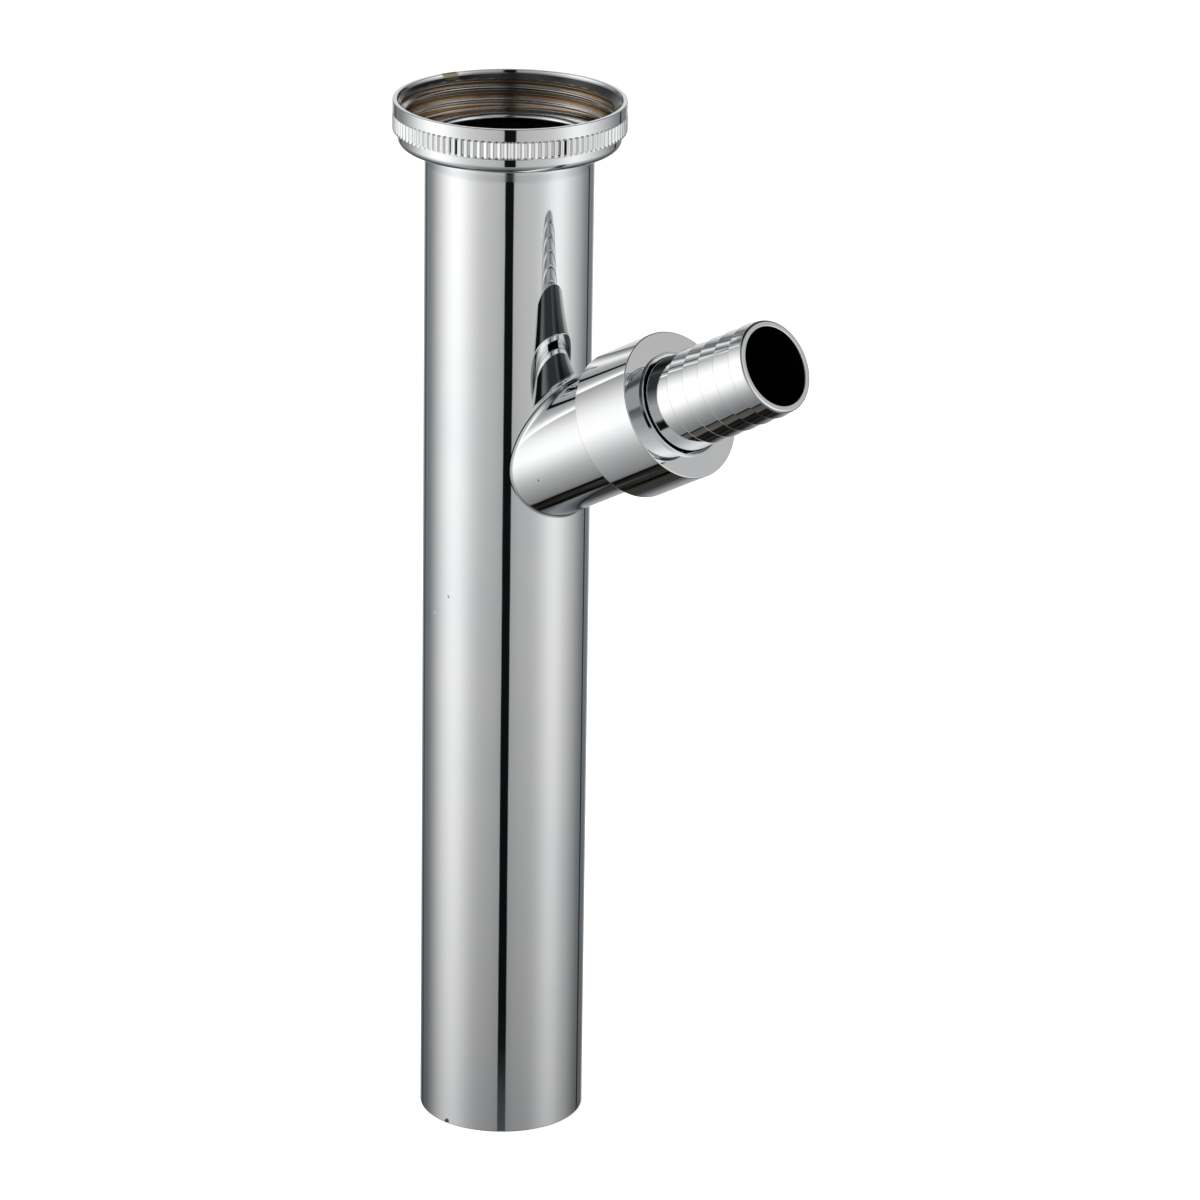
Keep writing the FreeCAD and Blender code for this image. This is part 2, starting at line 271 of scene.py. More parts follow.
def new_material(name: str) -> tuple[bpy.types.Material, Graph, Flow]:
    """Make an empty node material.

    Args:
        name: Its name.

    Returns:
        The material, its graph and the object's own coordinates.
    """
    material = bpy.data.materials.new(name)
    material.use_nodes = True
    material.node_tree.nodes.clear()
    graph = Graph(material.node_tree)
    return material, graph, graph.flow("ShaderNodeTexCoord", output="Object")


def grey(value: float) -> Colour:
    """Return an opaque grey."""
    return (value, value, value, 1.0)


# Finishes

# A noise is given here by its scale and detail and, where it isn't the usual, its roughness. A
# spread is given by where its smooth step begins and where it ends.

SILVER: Colour = (0.90, 0.905, 0.91, 1.0)
HAZED_SILVER: Colour = (0.85, 0.87, 0.895, 1.0)
DULL_SILVER: Colour = (0.44, 0.435, 0.43, 1.0)


@dataclass(frozen=True)
class Spot:
    """A small mark on a surface.

    Attributes:
        place: Its centre.
        radius: How far it reaches.
        colour: What the metal shows there.
    """

    place: Vector
    radius: float
    colour: Colour


@dataclass(frozen=True)
class Chrome:
    """Bright plating over polished brass.

    Attributes:
        name: The material's name.
        line_pitch: Spacing of the polishing lines along the piece's axis.
        line_depth: Bump height of those lines.
        wave: Bump height of the slow waviness of the wall.
        axis: The axis of the piece, which the polishing lines go round.
        foot: A point on that axis.
        spots: Marks on the piece.
        scuffed_from: Place along the axis above which the plating is scuffed by polishing.
        dull_within: Distance from the Z axis within which a mouth's plating is thin and dull.
        dull_above: Height above which it is.
    """

    name: str
    line_pitch: float
    line_depth: float
    wave: float
    axis: Vector = Vector(UP)
    foot: Vector = Vector()
    spots: tuple[Spot, ...] = ()
    scuffed_from: float = 1.0
    dull_within: float = 0.0
    dull_above: float = 0.2

    ROUGHNESS = 0.03
    HAZE_NOISE = (45.0, 4.0, 0.55)
    HAZE_SPREAD = (0.42, 0.78)
    HAZE_ROUGHNESS = 0.03
    SCUFF_EDGE = 0.6 * MM
    SCUFF_ROUGHNESS = 0.06
    SCUFF_LINES = 5.0
    DULL_EDGE = 0.12 * MM
    DULL_RISE = 1.0 * MM
    DULL_ROUGHNESS = 0.06
    SPOT_CORE = 0.6
    SPOT_NOISE = (0.6, 2.0)
    SPOT_ROUGHNESS = 0.35
    LINE_NOISE = (1.0, 2.0)
    WAVE_NOISE = (110.0, 3.0, 0.42)
    WAVE_STRETCH = (1.0, 1.0, 0.35)

    def build(self) -> bpy.types.Material:
        """Build the plating's nodes.

        Returns:
            The material, made afresh.
        """
        material, graph, place = new_material(self.name)
        along = graph.dot(place, self.axis) - self.axis.dot(self.foot)
        scuffed = along.rise(self.scuffed_from - self.SCUFF_EDGE, self.scuffed_from)
        haze = graph.noise(place, *self.HAZE_NOISE).rise(*self.HAZE_SPREAD).at_least(scuffed)
        colour = graph.blend(haze, SILVER, HAZED_SILVER)
        roughness = haze * self.HAZE_ROUGHNESS + self.ROUGHNESS + scuffed * self.SCUFF_ROUGHNESS
        if self.dull_within > 0.0:
            high = graph.dot(place, UP).rise(self.dull_above - self.DULL_RISE, self.dull_above)
            reach = graph.from_axis(place)
            dull = reach.rise(self.dull_within, self.dull_within - self.DULL_EDGE) * high
            colour = graph.blend(dull, colour, DULL_SILVER)
            roughness = roughness + dull * self.DULL_ROUGHNESS
        for spot in self.spots:
            mask = self.spot_mask(graph, place, spot)
            colour = graph.blend(mask, colour, spot.colour)
            roughness = roughness + mask * self.SPOT_ROUGHNESS
        lines = graph.noise(graph.bundle(0.0, 0.0, along / self.line_pitch), *self.LINE_NOISE)
        wave = graph.noise(graph.stretched(place, self.WAVE_STRETCH), *self.WAVE_NOISE)
        height = lines * (scuffed * self.SCUFF_LINES + 1.0) * self.line_depth + wave * self.wave
        graph.end_surface(
            {
                "Base Color": colour,
                "Metallic": 1.0,
                "Roughness": roughness,
                "Normal": graph.bump(height),
            }
        )
        return material

    def on(self, branch: "Branch") -> "Chrome":
        """Return this plating for a piece on the branch's axis."""
        return replace(self, axis=branch.way, foot=branch.foot)

    def spot_mask(self, graph: Graph, place: Flow, spot: Spot) -> Flow:
        """Return where a spot covers the plating, with a ragged edge.

        Args:
            graph: The material's graph.
            place: The object's own coordinates.
            spot: The spot.

        Returns:
            A mask, 1 in the middle of the spot.
        """
        scale, detail = self.SPOT_NOISE
        near = graph.distance(place, spot.place)
        ragged = graph.noise(place, scale / spot.radius, detail) - 0.5
        return (near + ragged * spot.radius).rise(spot.radius, spot.radius * self.SPOT_CORE)


@dataclass(frozen=True)
class DullBore:
    """Thinly plated brass in a bore or thread, stained brown, with painted shade and highlight.

    Attributes:
        name: The material's name.
        bright: Colour of the cleaner metal.
        dark: Colour of the stained metal, also painted into a thread's roots as painted shade.
        roughness: Roughness of the cleaner metal.
        clean_from: Height above which the plating is unstained but dull.
        painted_light_within: Distance from the Z axis that parts a thread's crests, painted lighter
            as painted highlight, from its roots, painted darker as painted shade.
    """

    name: str
    bright: Colour
    dark: Colour
    roughness: float
    clean_from: float = 1.0
    painted_light_within: float = 0.0

    STAIN_NOISE = (160.0, 4.0, 0.6)
    STAIN_STRETCH = (1.0, 1.0, 2.5)
    STAIN_SPREAD = (0.35, 0.7)
    STAIN_ROUGHNESS = 0.1
    ROOT_REACH = 0.6 * MM
    CREST_REACH = 0.3 * MM
    CREST_SHINE = 0.85
    CLEAN_EDGE = 0.5 * MM
    GRAIN_NOISE = (2600.0, 2.0)
    GRAIN_DEPTH = 0.006 * MM

    def build(self) -> bpy.types.Material:
        """Build the stained metal's nodes.

        Returns:
            The material, made afresh.
        """
        material, graph, place = new_material(self.name)
        stain_and_root_shade = graph.noise(graph.stretched(place, self.STAIN_STRETCH), *self.STAIN_NOISE)
        stain_and_root_shade = stain_and_root_shade.rise(*self.STAIN_SPREAD)
        if self.painted_light_within > 0.0:
            reach = graph.from_axis(place)
            # Painted shade: the thread's roots take the dark colour. Painted highlight: its crests
            # blend towards silver.
            root = reach.rise(self.painted_light_within, self.painted_light_within + self.ROOT_REACH)
            crest = reach.rise(self.painted_light_within, self.painted_light_within - self.CREST_REACH)
            stain_and_root_shade = stain_and_root_shade.at_least(root)
            colour = graph.blend(stain_and_root_shade, self.bright, self.dark)
            colour = graph.blend(crest * self.CREST_SHINE, colour, SILVER)
        else:
            colour = graph.blend(stain_and_root_shade, self.bright, self.dark)
        clean = graph.dot(place, UP).rise(self.clean_from - self.CLEAN_EDGE, self.clean_from)
        graph.end_surface(
            {
                "Base Color": graph.blend(clean, colour, DULL_SILVER),
                "Metallic": 1.0,
                "Roughness": stain_and_root_shade * self.STAIN_ROUGHNESS + self.roughness,
                "Normal": graph.bump(graph.noise(place, *self.GRAIN_NOISE), self.GRAIN_DEPTH),
            }
        )
        return material


@dataclass(frozen=True)
class Rubber:
    """Matt moulded seal.

    Attributes:
        name: The material's name.
        colour: Colour of the clean rubber.
        bloom: Colour where it has bloomed grey.
    """

    name: str
    colour: Colour
    bloom: Colour

    ROUGHNESS = 0.6
    BLOOM_NOISE = (300.0, 4.0)
    BLOOM_SPREAD = (0.45, 0.75)
    BLOOM_ROUGHNESS = 0.2
    GRAIN_SCALE = 2200.0
    GRAIN_DEPTH = 0.02 * MM

    def build(self) -> bpy.types.Material:
        """Build the rubber's nodes.

        Returns:
            The material, made afresh.
        """
        material, graph, place = new_material(self.name)
        bloom = graph.noise(place, *self.BLOOM_NOISE).rise(*self.BLOOM_SPREAD)
        graph.end_surface(
            {
                "Base Color": graph.blend(bloom, self.colour, self.bloom),
                "Roughness": bloom * self.BLOOM_ROUGHNESS + self.ROUGHNESS,
                "Normal": graph.bump(graph.noise(place, self.GRAIN_SCALE), self.GRAIN_DEPTH),
            }
        )
        return material


TUBE_PLATING = Chrome(
    "tube_plating",
    line_pitch=0.4 * MM,
    line_depth=0.0004 * MM,
    wave=0.02 * MM,
    spots=(
        Spot(Vector((-0.47, -15.99, 110.1)) * MM, 0.35 * MM, grey(0.45)),
        Spot(Vector((-4.64, -15.31, 105.65)) * MM, 0.5 * MM, grey(1.0)),
        Spot(Vector((17.41, -10.84, 136.3)) * MM, 0.3 * MM, grey(0.4)),
        Spot(Vector((-0.1, -16.0, 0.4)) * MM, 0.7 * MM, grey(0.12)),
    ),
    scuffed_from=193.6 * MM,
)
NUT_PLATING = Chrome(
    "nut_plating",
    line_pitch=0.15 * MM,
    line_depth=0.0003 * MM,
    wave=0.002 * MM,
    spots=(Spot(Vector((-20.7, 6.0, 204.9)) * MM, 2.1 * MM, (0.40, 0.37, 0.24, 1.0)),),
    dull_within=21.18 * MM,
)
RING_PLATING = Chrome(
    "ring_plating", line_pitch=0.12 * MM, line_depth=0.0002 * MM, wave=0.001 * MM
)
TAIL_PLATING = Chrome(
    "tail_plating", line_pitch=0.14 * MM, line_depth=0.003 * MM, wave=0.001 * MM
)
# The bore's brown staining is darkened to near black as painted shade, so the deep bore stays dark.
BORE_STAIN_AND_PAINTED_SHADE = DullBore(
    "bore_stain_and_painted_shade",
    bright=(0.10, 0.075, 0.05, 1.0),
    dark=(0.015, 0.011, 0.008, 1.0),
    roughness=0.35,
)
# The thread's brown staining is its own; its darker roots are painted shade and its silver crests a
# painted highlight.
THREAD_STAIN_AND_PAINTED_LIGHT = DullBore(
    "thread_stain_and_painted_light",
    bright=(0.95, 0.87, 0.77, 1.0),
    dark=(0.55, 0.445, 0.345, 1.0),
    roughness=0.12,
    clean_from=203.3 * MM,
    painted_light_within=19.95 * MM,
)
BLACK_RUBBER = Rubber("black_rubber", colour=grey(0.02), bloom=grey(0.05))


# Meshes


@dataclass(frozen=True)
class Corner:
    """A corner of an outline in the half plane through a turned piece's axis.

    Attributes:
        radius: Distance from the axis.
        height: Place along the axis.
        rounding: Radius of the rounding there, or 0 for a sharp corner.
    """

    radius: float
    height: float
    rounding: float = 0.0


@dataclass(frozen=True)
class Station:
    """A point of an outline with the direction that the surface faces there.

    Attributes:
        radius: Distance from the axis.
        height: Place along the axis.
        out: The direction's part away from the axis.
        up: Its part along the axis.
    """

    radius: float
    height: float
    out: float
    up: float


# Straight steps that stand for the arc of each rounding.
ARC_STEPS = 8


def outline(corners: Sequence[Corner], closed: bool = True) -> list[list[Station]]:
    """Turn the corners of an outline into spans of straight runs and roundings.

    Args:
        corners: The corners, with the material on the left of the way round.
        closed: Whether the last corner joins the first.

    Returns:
        The spans, each smooth within itself and from one to the next unless a corner is sharp.
    """
    count = len(corners)
    points = [Vector((corner.radius, corner.height)) for corner in corners]
    legs = [(points[(i + 1) % count] - points[i]).normalized() for i in range(count)]
    starts, ends, arcs = {}, {}, {}
    for i, corner in enumerate(corners):
        inner = closed or 0 < i < count - 1
        before, after = legs[i - 1], legs[i]
        turn = math.atan2(before.cross(after), before.dot(after)) if inner else 0.0
        reach = corner.rounding * math.tan(abs(turn) / 2) if inner else 0.0
        ends[i] = points[i] - before * reach
        starts[i] = points[i] + after * reach
        if inner and corner.rounding > 0:
            arcs[i] = round_corner(ends[i], before, turn, corner.rounding)
    spans = []
    for i in range(count if closed else count - 1):
        if i in arcs:
            spans.append(arcs[i])
        leg, run = legs[i], (starts[i], ends[(i + 1) % count])
        spans.append([Station(point.x, point.y, leg.y, -leg.x) for point in run])
    return spans


def round_corner(start: Vector, heading: Vector, turn: float, radius: float) -> list[Station]:
    """Return the stations of an arc that leaves a straight run smoothly.

    Args:
        start: Where the arc begins.
        heading: The way that the outline runs there.
        turn: How far it turns, positive to the left.
        radius: The arc's radius.

    Returns:
        Its stations.
    """
    side = 1.0 if turn > 0 else -1.0
    centre = start + Vector((-heading.y, heading.x)) * radius * side
    stations = []
    for step in range(ARC_STEPS + 1):
        angle = turn * step / ARC_STEPS
        way = Vector(
            (
                heading.x * math.cos(angle) - heading.y * math.sin(angle),
                heading.x * math.sin(angle) + heading.y * math.cos(angle),
            )
        )
        place = centre + Vector((way.y, -way.x)) * radius * side
        stations.append(Station(place.x, place.y, way.y, -way.x))
    return stations


class Shell:
    """Gathers faces with an exact direction at each corner and makes one mesh of them."""

    def __init__(self, place: Matrix | None = None) -> None:
        """Start an empty mesh.

        Args:
            place: Where a turned piece stands in the part, if not on the tube's axis.
        """
        self.place = place or Matrix.Identity(4)
        self.points: list[Vector] = []
        self.known: dict[tuple[int, ...], int] = {}
        self.faces: list[list[int]] = []
        self.facing: list[Vector] = []
        self.slots: list[int] = []

    def vertex(self, point: Vector) -> int:
        """Find or add the vertex at a point.

        Args:
            point: The point.

        Returns:
            The vertex's number, that of a known one if it lies within about a micron.
        """
        names = [
            (side, *(math.floor(value / MICRON + side / 2) for value in point)) for side in (0, 1)
        ]
        number = next((self.known[name] for name in names if name in self.known), len(self.points))
        if number == len(self.points):
            self.points.append(point)
        for name in names:
            self.known.setdefault(name, number)
        return number

    def face(self, corners: Sequence[Facet], slot: int) -> None:
        """Add a face.

        Args:
            corners: Point and outward direction of each corner, either way round.
            slot: The material slot.
        """
        numbers, kept = [], []
        for point, out in corners:
            number = self.vertex(point)
            if number not in numbers:
                numbers.append(number)
                kept.append((point, out))
        if len(numbers) < 3:
            return
        across = (kept[1][0] - kept[0][0]).cross(kept[-1][0] - kept[0][0])
        if across.dot(sum((out for _, out in kept), Vector())) < 0:
            numbers.reverse()
            kept.reverse()
        self.faces.append(numbers)
        self.facing.extend(out for _, out in kept)
        self.slots.append(slot)

    def grid(
        self, rows: Sequence[Sequence[Facet]], closed: bool = True, slot: int = OUTSIDE
    ) -> None:
        """Add the quads between neighbouring rows of corners.

        Args:
            rows: The rows.
            closed: Whether each row joins its own start.
            slot: The material slot.
        """
        count = len(rows[0])
        for low, high in zip(rows, rows[1:]):
            for i in range(count if closed else count - 1):
                j = (i + 1) % count
                self.face((low[i], low[j], high[j], high[i]), slot)

    def turn(
        self, spans: Sequence[Sequence[Station]], angles: Sequence[float], slot: int = OUTSIDE
    ) -> None:
        """Turn the spans of an outline about the piece's axis.

        Args:
            spans: The spans.
            angles: The angles of the columns, a full turn in all.
            slot: The material slot.
        """
        for span in spans:
            rows = [[self.turned(station, angle) for angle in angles] for station in span]
            self.grid(rows, slot=slot)

    def turned(self, station: Station, angle: float) -> Facet:
        """Turn a station of an outline about the piece's axis.

        Args:
            station: The station.
            angle: How far it is turned.

        Returns:
            Its point in the part and the way that the surface faces there.
        """
        cosine, sine = math.cos(angle), math.sin(angle)
        point = Vector((station.radius * cosine, station.radius * sine, station.height))
        out = Vector((station.out * cosine, station.out * sine, station.up))
        return self.place @ point, self.place.to_3x3() @ out

    def finish(self, name: str, materials: Sequence[bpy.types.Material]) -> bpy.types.Object:
        """Make the object.

        Args:
            name: Its name.
            materials: A material for each slot.

        Returns:
            The object, linked to the scene.
        """
        mesh = bpy.data.meshes.new(name)
        mesh.from_pydata(self.points, [], self.faces)
        for material in materials:
            mesh.materials.append(material)
        mesh.polygons.foreach_set("material_index", self.slots)
        mesh.polygons.foreach_set("use_smooth", [True] * len(self.faces))
        mesh.normals_split_custom_set([out.normalized() for out in self.facing])
        mesh.update()
        piece = bpy.data.objects.new(name, mesh)
        bpy.context.collection.objects.link(piece)
        return piece


def even_angles(count: int) -> list[float]:
    """Return the angles of evenly spaced columns over a full turn."""
    return [math.tau * i / count for i in range(count)]


def settle(piece: bpy.types.Object, body: Body, nodes: Sequence[str] = ()) -> None:
    """Give a finished piece its body and the nodes that it stands for.

    Args:
        piece: The piece.
        body: The body that it rides on.
        nodes: The CAD nodes that it replaces.
    """
    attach(piece, body.value)
    if nodes:
        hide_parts(*nodes)
    faces, stands = len(piece.data.polygons), " and ".join(nodes) or "no node"
    log.info("%s rides on %s for %s, %d faces", piece.name, body.value, stands, faces)


# Geometry Nodes


@dataclass(frozen=True)
class Sleeve:
    """The grid that a patterned sleeve is rolled from.

    Attributes:
        grid: The flat mesh.
        angle: Angle round the axis at each point.
        height: Place along the axis.
        back: 1 on the sleeve's back and 0 on its face.
    """

    grid: Flow
    angle: Flow
    height: Flow
    back: Flow


class Rule:
    """A Geometry Nodes tree that shapes a piece by a rule, with named sizes."""

    # Edges that bend by more than this, in radians, stay sharp.
    SHARP = 1.1

    def __init__(self, name: str, sizes: Mapping[str, float | int]) -> None:
        """Start the tree with an input for each size.

        Args:
            name: Name of the piece.
            sizes: The named sizes, with whole numbers for counts.
        """
        sockets = {int: "NodeSocketInt", float: "NodeSocketFloat"}
        self.name = name
        self.sizes = dict(sizes)
        self.tree = bpy.data.node_groups.new(name, "GeometryNodeTree")
        self.graph = Graph(self.tree)
        panel = self.tree.interface
        for size, value in self.sizes.items():
            panel.new_socket(name=size, in_out="INPUT", socket_type=sockets[type(value)])
        panel.new_socket(name="Geometry", in_out="OUTPUT", socket_type="NodeSocketGeometry")
        self.source = self.graph.node("NodeGroupInput")

    def size(self, name: str) -> Flow:
        """Return a named size as a Flow."""
        return Flow(self.graph, self.source.outputs[name])

    def sleeve(self, low: str, high: str) -> Sleeve:
        """Add the flat grid of a sleeve: its face from low to high, then its back down again.

        Args:
            low: Name of the size that holds the sleeve's lower end.
            high: Name of the size that holds its upper end.

        Returns:
            The grid, its angle and height, and a mask of the sleeve's back.
        """
        # The last three rows are the back's top, its foot and the face's foot once more.
        columns, rows = self.size("Columns"), self.size("Rows")
        values = {"Size X": 1.0, "Size Y": 1.0, "Vertices X": columns + 1.0, "Vertices Y": rows}
        grid = self.graph.flow("GeometryNodeMeshGrid", None, values)
        place = self.graph.flow("GeometryNodeInputPosition")
        angle = (self.graph.dot(place, (1, 0, 0)) + 0.5) * math.tau
        row = (self.graph.dot(place, (0, 1, 0)) + 0.5) * (rows - 1.0)
        share = (row / (rows - 4.0)).at_most(1.0)
        returned = row.maths("GREATER_THAN", rows - 2.5)
        height = self.size(low) + (self.size(high) - self.size(low)) * share * (1.0 - returned)
        back = row.maths("GREATER_THAN", rows - 3.5) * row.maths("LESS_THAN", rows - 1.5)
        return Sleeve(grid, angle, height, back)

    def roll_up(self, sleeve: Sleeve, face: Flow, back: Flow) -> Flow:
        """Roll a sleeve's grid round the axis and close its seams.

        Args:
            sleeve: The grid.
            face: Radius of its face.
            back: Radius of its back.

        Returns:
            The closed mesh.
        """
        radius = face + (back - face) * sleeve.back
        cosine, sine = sleeve.angle.maths("COSINE"), sleeve.angle.maths("SINE")
        place = self.graph.bundle(radius * cosine, radius * sine, sleeve.height)
        values = {"Geometry": sleeve.grid, "Position": place}
        rolled = self.graph.flow("GeometryNodeSetPosition", None, values)
        values = {"Geometry": rolled, "Distance": MICRON}
        return self.graph.flow("GeometryNodeMergeByDistance", None, values)

    def make(
        self, shape: Flow, material: bpy.types.Material, place: Matrix | None = None
    ) -> bpy.types.Object:
        """End the tree, run it and keep the result as a plain mesh.

        Args:
            shape: The tree's geometry.
            material: The finish.
            place: Where the piece stands in the part, if not on the tube's axis.

        Returns:
            The piece, with no modifier left on it.
        """
        real = self.graph.flow("GeometryNodeRealizeInstances", None, {"Geometry": shape})
        smooth = self.graph.flow("GeometryNodeSetShadeSmooth", None, {"Geometry": real})
        bend = self.graph.flow("GeometryNodeInputMeshEdgeAngle").maths("GREATER_THAN", self.SHARP)
        values = {"Geometry": smooth, "Selection": bend, "Shade Smooth": False}
        creased = self.graph.flow("GeometryNodeSetShadeSmooth", {"domain": "EDGE"}, values)
        values = {"Geometry": creased, "Material": material}
        done = self.graph.flow("GeometryNodeSetMaterial", None, values)
        self.graph.node("NodeGroupOutput", None, {"Geometry": done})
        piece = bpy.data.objects.new(self.name, bpy.data.meshes.new(f"{self.name}_seed"))
        bpy.context.collection.objects.link(piece)
        modifier = piece.modifiers.new("rule", "NODES")
        modifier.node_group = self.tree
        for item in self.tree.interface.items_tree:
            if item.in_out == "INPUT":
                modifier[item.identifier] = self.sizes[item.name]
        graph = bpy.context.evaluated_depsgraph_get()
        mesh = bpy.data.meshes.new_from_object(piece.evaluated_get(graph))
        piece.modifiers.remove(modifier)
        mesh.transform(place or Matrix.Identity(4))
        mesh.name = self.name
        mesh.materials.clear()
        mesh.materials.append(material)
        mesh.polygons.foreach_set("material_index", [0] * len(mesh.polygons))
        piece.data = mesh
        self.face_outwards(mesh)
        return piece

    @staticmethod
    def face_outwards(mesh: bpy.types.Mesh) -> None:
        """Turn a closed mesh right side out if its signed volume is negative.

        Args:
            mesh: The mesh.
        """
        mesh.calc_loop_triangles()
        volume = 0.0
        for triangle in mesh.loop_triangles:
            a, b, c = (mesh.vertices[i].co for i in triangle.vertices)
            volume += a.dot(b.cross(c))
        if volume < 0:
            mesh.flip_normals()


# Pieces


@dataclass(frozen=True)
class Branch:
    """The axis of the slanted branch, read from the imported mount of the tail's bore.

    Attributes:
        tip: A point on the axis at the tail's mouth.
        way: The unit vector along the axis, out of the tube.
    """

    tip: Vector
    way: Vector

    @classmethod
    def from_record(cls) -> "Branch":
        """Return the branch as the record's mount gives it."""
        mount = next(m for m in frame["record"]["mounts"] if m["name"] == "tail_bore")
        return cls(Vector(mount["pos_m"]), Vector(mount["axis"]).normalized())

    @property
    def foot(self) -> Vector:
        """The point where the branch's axis meets the tube's."""
        return self.tip - self.way * (self.tip.x / self.way.x)

    @property
    def rise(self) -> float:
        """The angle of the branch above the horizontal, in radians."""
        return math.asin(self.way.z)

    @property
    def place(self) -> Matrix:
        """Where a piece that is turned about its own Z axis goes, foot on the tube's axis."""
        return Matrix.Translation(self.foot) @ Matrix.Rotation(math.pi / 2 - self.rise, 4, "Y")


@dataclass(frozen=True)
class DipTube:
    """The flanged tube with its slanted stub, brazed together.

    Attributes:
        radius: Outside radius of the tube.
        bore: Its bore radius.
        length: Lower end to the top of the flange.
        flange: Outside radius of the flange.
        flange_thickness: Thickness of the flange.
        roll: Rounding from the bore into the flange.
        stub: Outside radius of the stub.
        stub_bore: Its bore radius.
        boss: Radius of the threaded boss at its end.
        boss_foot: Tube axis to the foot of the boss, along the branch.
        stub_end: Tube axis to the end of the stub.
        flare: How far the wall swells where the flange was drawn.
        flare_foot: Where that begins.
        flare_height: Height that it takes.
        braze_on_tube: How far the braze runs out over the tube.
        braze_on_stub: How far it climbs the stub.
        braze_in_crotch: How much further it does both in the crotch above the stub.
        band: Lowest and highest height of the part of the wall that holds the port.
        reach: Half of the angle that this part spans, in degrees.
    """

    radius: float = 16.0 * MM
    bore: float = 15.0 * MM
    length: float = 198.0 * MM
    flange: float = 18.4 * MM
    flange_thickness: float = 1.0 * MM
    roll: float = 0.9 * MM
    stub: float = 11.4 * MM
    stub_bore: float = 10.0 * MM
    boss: float = 12.59 * MM
    boss_foot: float = 36.5 * MM
    stub_end: float = 42.9 * MM
    flare: float = 0.08 * MM
    flare_foot: float = 193.1 * MM
    flare_height: float = 1.5 * MM
    braze_on_tube: float = 0.5 * MM
    braze_on_stub: float = 0.35 * MM
    braze_in_crotch: float = 1.4 * MM
    band: Pair = (118.0 * MM, 162.0 * MM)
    reach: float = 62.5

    COLUMNS = 288
    BAND_ROWS = 36
    PATCH_ROWS = 8
    BRAZE_ROWS = 12
    FLARE_ROUND = 14.0 * MM
    SEAT_ROUND = 0.15 * MM
    FLANGE_ROUND = 0.3 * MM
    FOOT_ROUND = 0.22 * MM
    FOOT_ROUND_INSIDE = 0.12 * MM
    # How far the braze keeps to the tube and to the stub, as a share of its run on each.
    BRAZE_BELLY = 0.6
    # Small turns, in radians, over which the directions of the seam and the braze are taken.
    SEAM_STEP = 0.01
    BRAZE_STEP = 0.002

    def build(self, branch: Branch, finish: Chrome, bore_finish: DullBore) -> bpy.types.Object:
        """Build the tube with its stub as one closed mesh.

        Args:
            branch: The axis of the branch.
            finish: The outside.
            bore_finish: The inside.

        Returns:
            The piece.
        """
        shell = Shell()
        low, high = self.band
        columns = even_angles(self.COLUMNS)
        flared = self.radius + self.flare
        seat = self.length - self.flange_thickness
        top = outline(
            (
                Corner(self.radius, high),
                Corner(self.radius, self.flare_foot, self.FLARE_ROUND),
                Corner(flared, self.flare_foot + self.flare_height),
                Corner(flared, seat),
                Corner(self.flange, seat, self.SEAT_ROUND),
                Corner(self.flange, self.length, self.FLANGE_ROUND),
                Corner(self.bore, self.length, self.roll),
                Corner(self.bore, self.length - self.roll * 2),
                Corner(self.bore, high),
            ),
            closed=False,
        )
        foot = outline(
            (
                Corner(self.bore, low),
                Corner(self.bore, 0.0, self.FOOT_ROUND_INSIDE),
                Corner(self.radius, 0.0, self.FOOT_ROUND),
                Corner(self.radius, low),
            ),
            closed=False,
        )
        shell.turn(top[:-1] + foot[1:], columns)
        shell.turn(foot[:1] + top[-1:], columns, INSIDE)
        turns = self.add_ported_wall(shell, branch, self.radius, OUTSIDE)
        self.add_ported_wall(shell, branch, self.bore, INSIDE)
        self.add_stub(shell, branch, turns)
        return shell.finish("tube_with_stub", (finish.build(), bore_finish.build()))

    @property
    def patch_half(self) -> int:
        """Half of the number of columns that the patch round the port spans."""
        return round(self.reach / 360.0 * self.COLUMNS)

    def arc_step(self, radius: float) -> float:
        """Return the arc length from one column of a wall to the next."""
        return math.tau / self.COLUMNS * radius

    def rim_of_patch(self, radius: float) -> list[Pair]:
        """Lay the border of the wall's patch round the port.

        Args:
            radius: The wall's radius.

        Returns:
            The arc length and height of its points, all the way round.
        """
        low, high = self.band
        half, rows, step = self.patch_half, self.BAND_ROWS, self.arc_step(radius)
        border = [(i * step, low) for i in range(-half, half)]
        border += [(half * step, low + (high - low) * j / rows) for j in range(rows)]
        border += [(-i * step, high) for i in range(-half, half)]
        border += [(-half * step, high - (high - low) * j / rows) for j in range(rows)]
        return border

    @staticmethod
    def on_wall(radius: float, arc: float, height: float) -> Facet:
        """Place a point on a wall about the tube's axis.

        Args:
            radius: The wall's radius.
            arc: Arc length round it from the branch's side.
            height: Height of the point.

        Returns:
            The point and the way out of the wall there.
        """
        angle = arc / radius
        out = Vector((math.cos(angle), math.sin(angle), 0.0))
        return Vector((out.x * radius, out.y * radius, height)), out

    @staticmethod
    def saddle(branch: Branch, wall: float, pipe: float, turn: float) -> Pair:
        """Return where a pipe on the branch's axis meets a wall about the tube's axis.

        Args:
            branch: The axis of the branch.
            wall: Radius of the wall.
            pipe: Radius of the pipe.
            turn: Angle round the branch's axis, from +Y towards the pipe's upper side.

        Returns:
            The angle round the tube and the distance along the branch.
        """
        across = pipe * math.cos(turn)
        lift = pipe * math.sin(turn)
        out = math.sqrt(wall * wall - across * across)
        along = (out + lift * math.sin(branch.rise)) / math.cos(branch.rise)
        return math.asin(across / wall), along

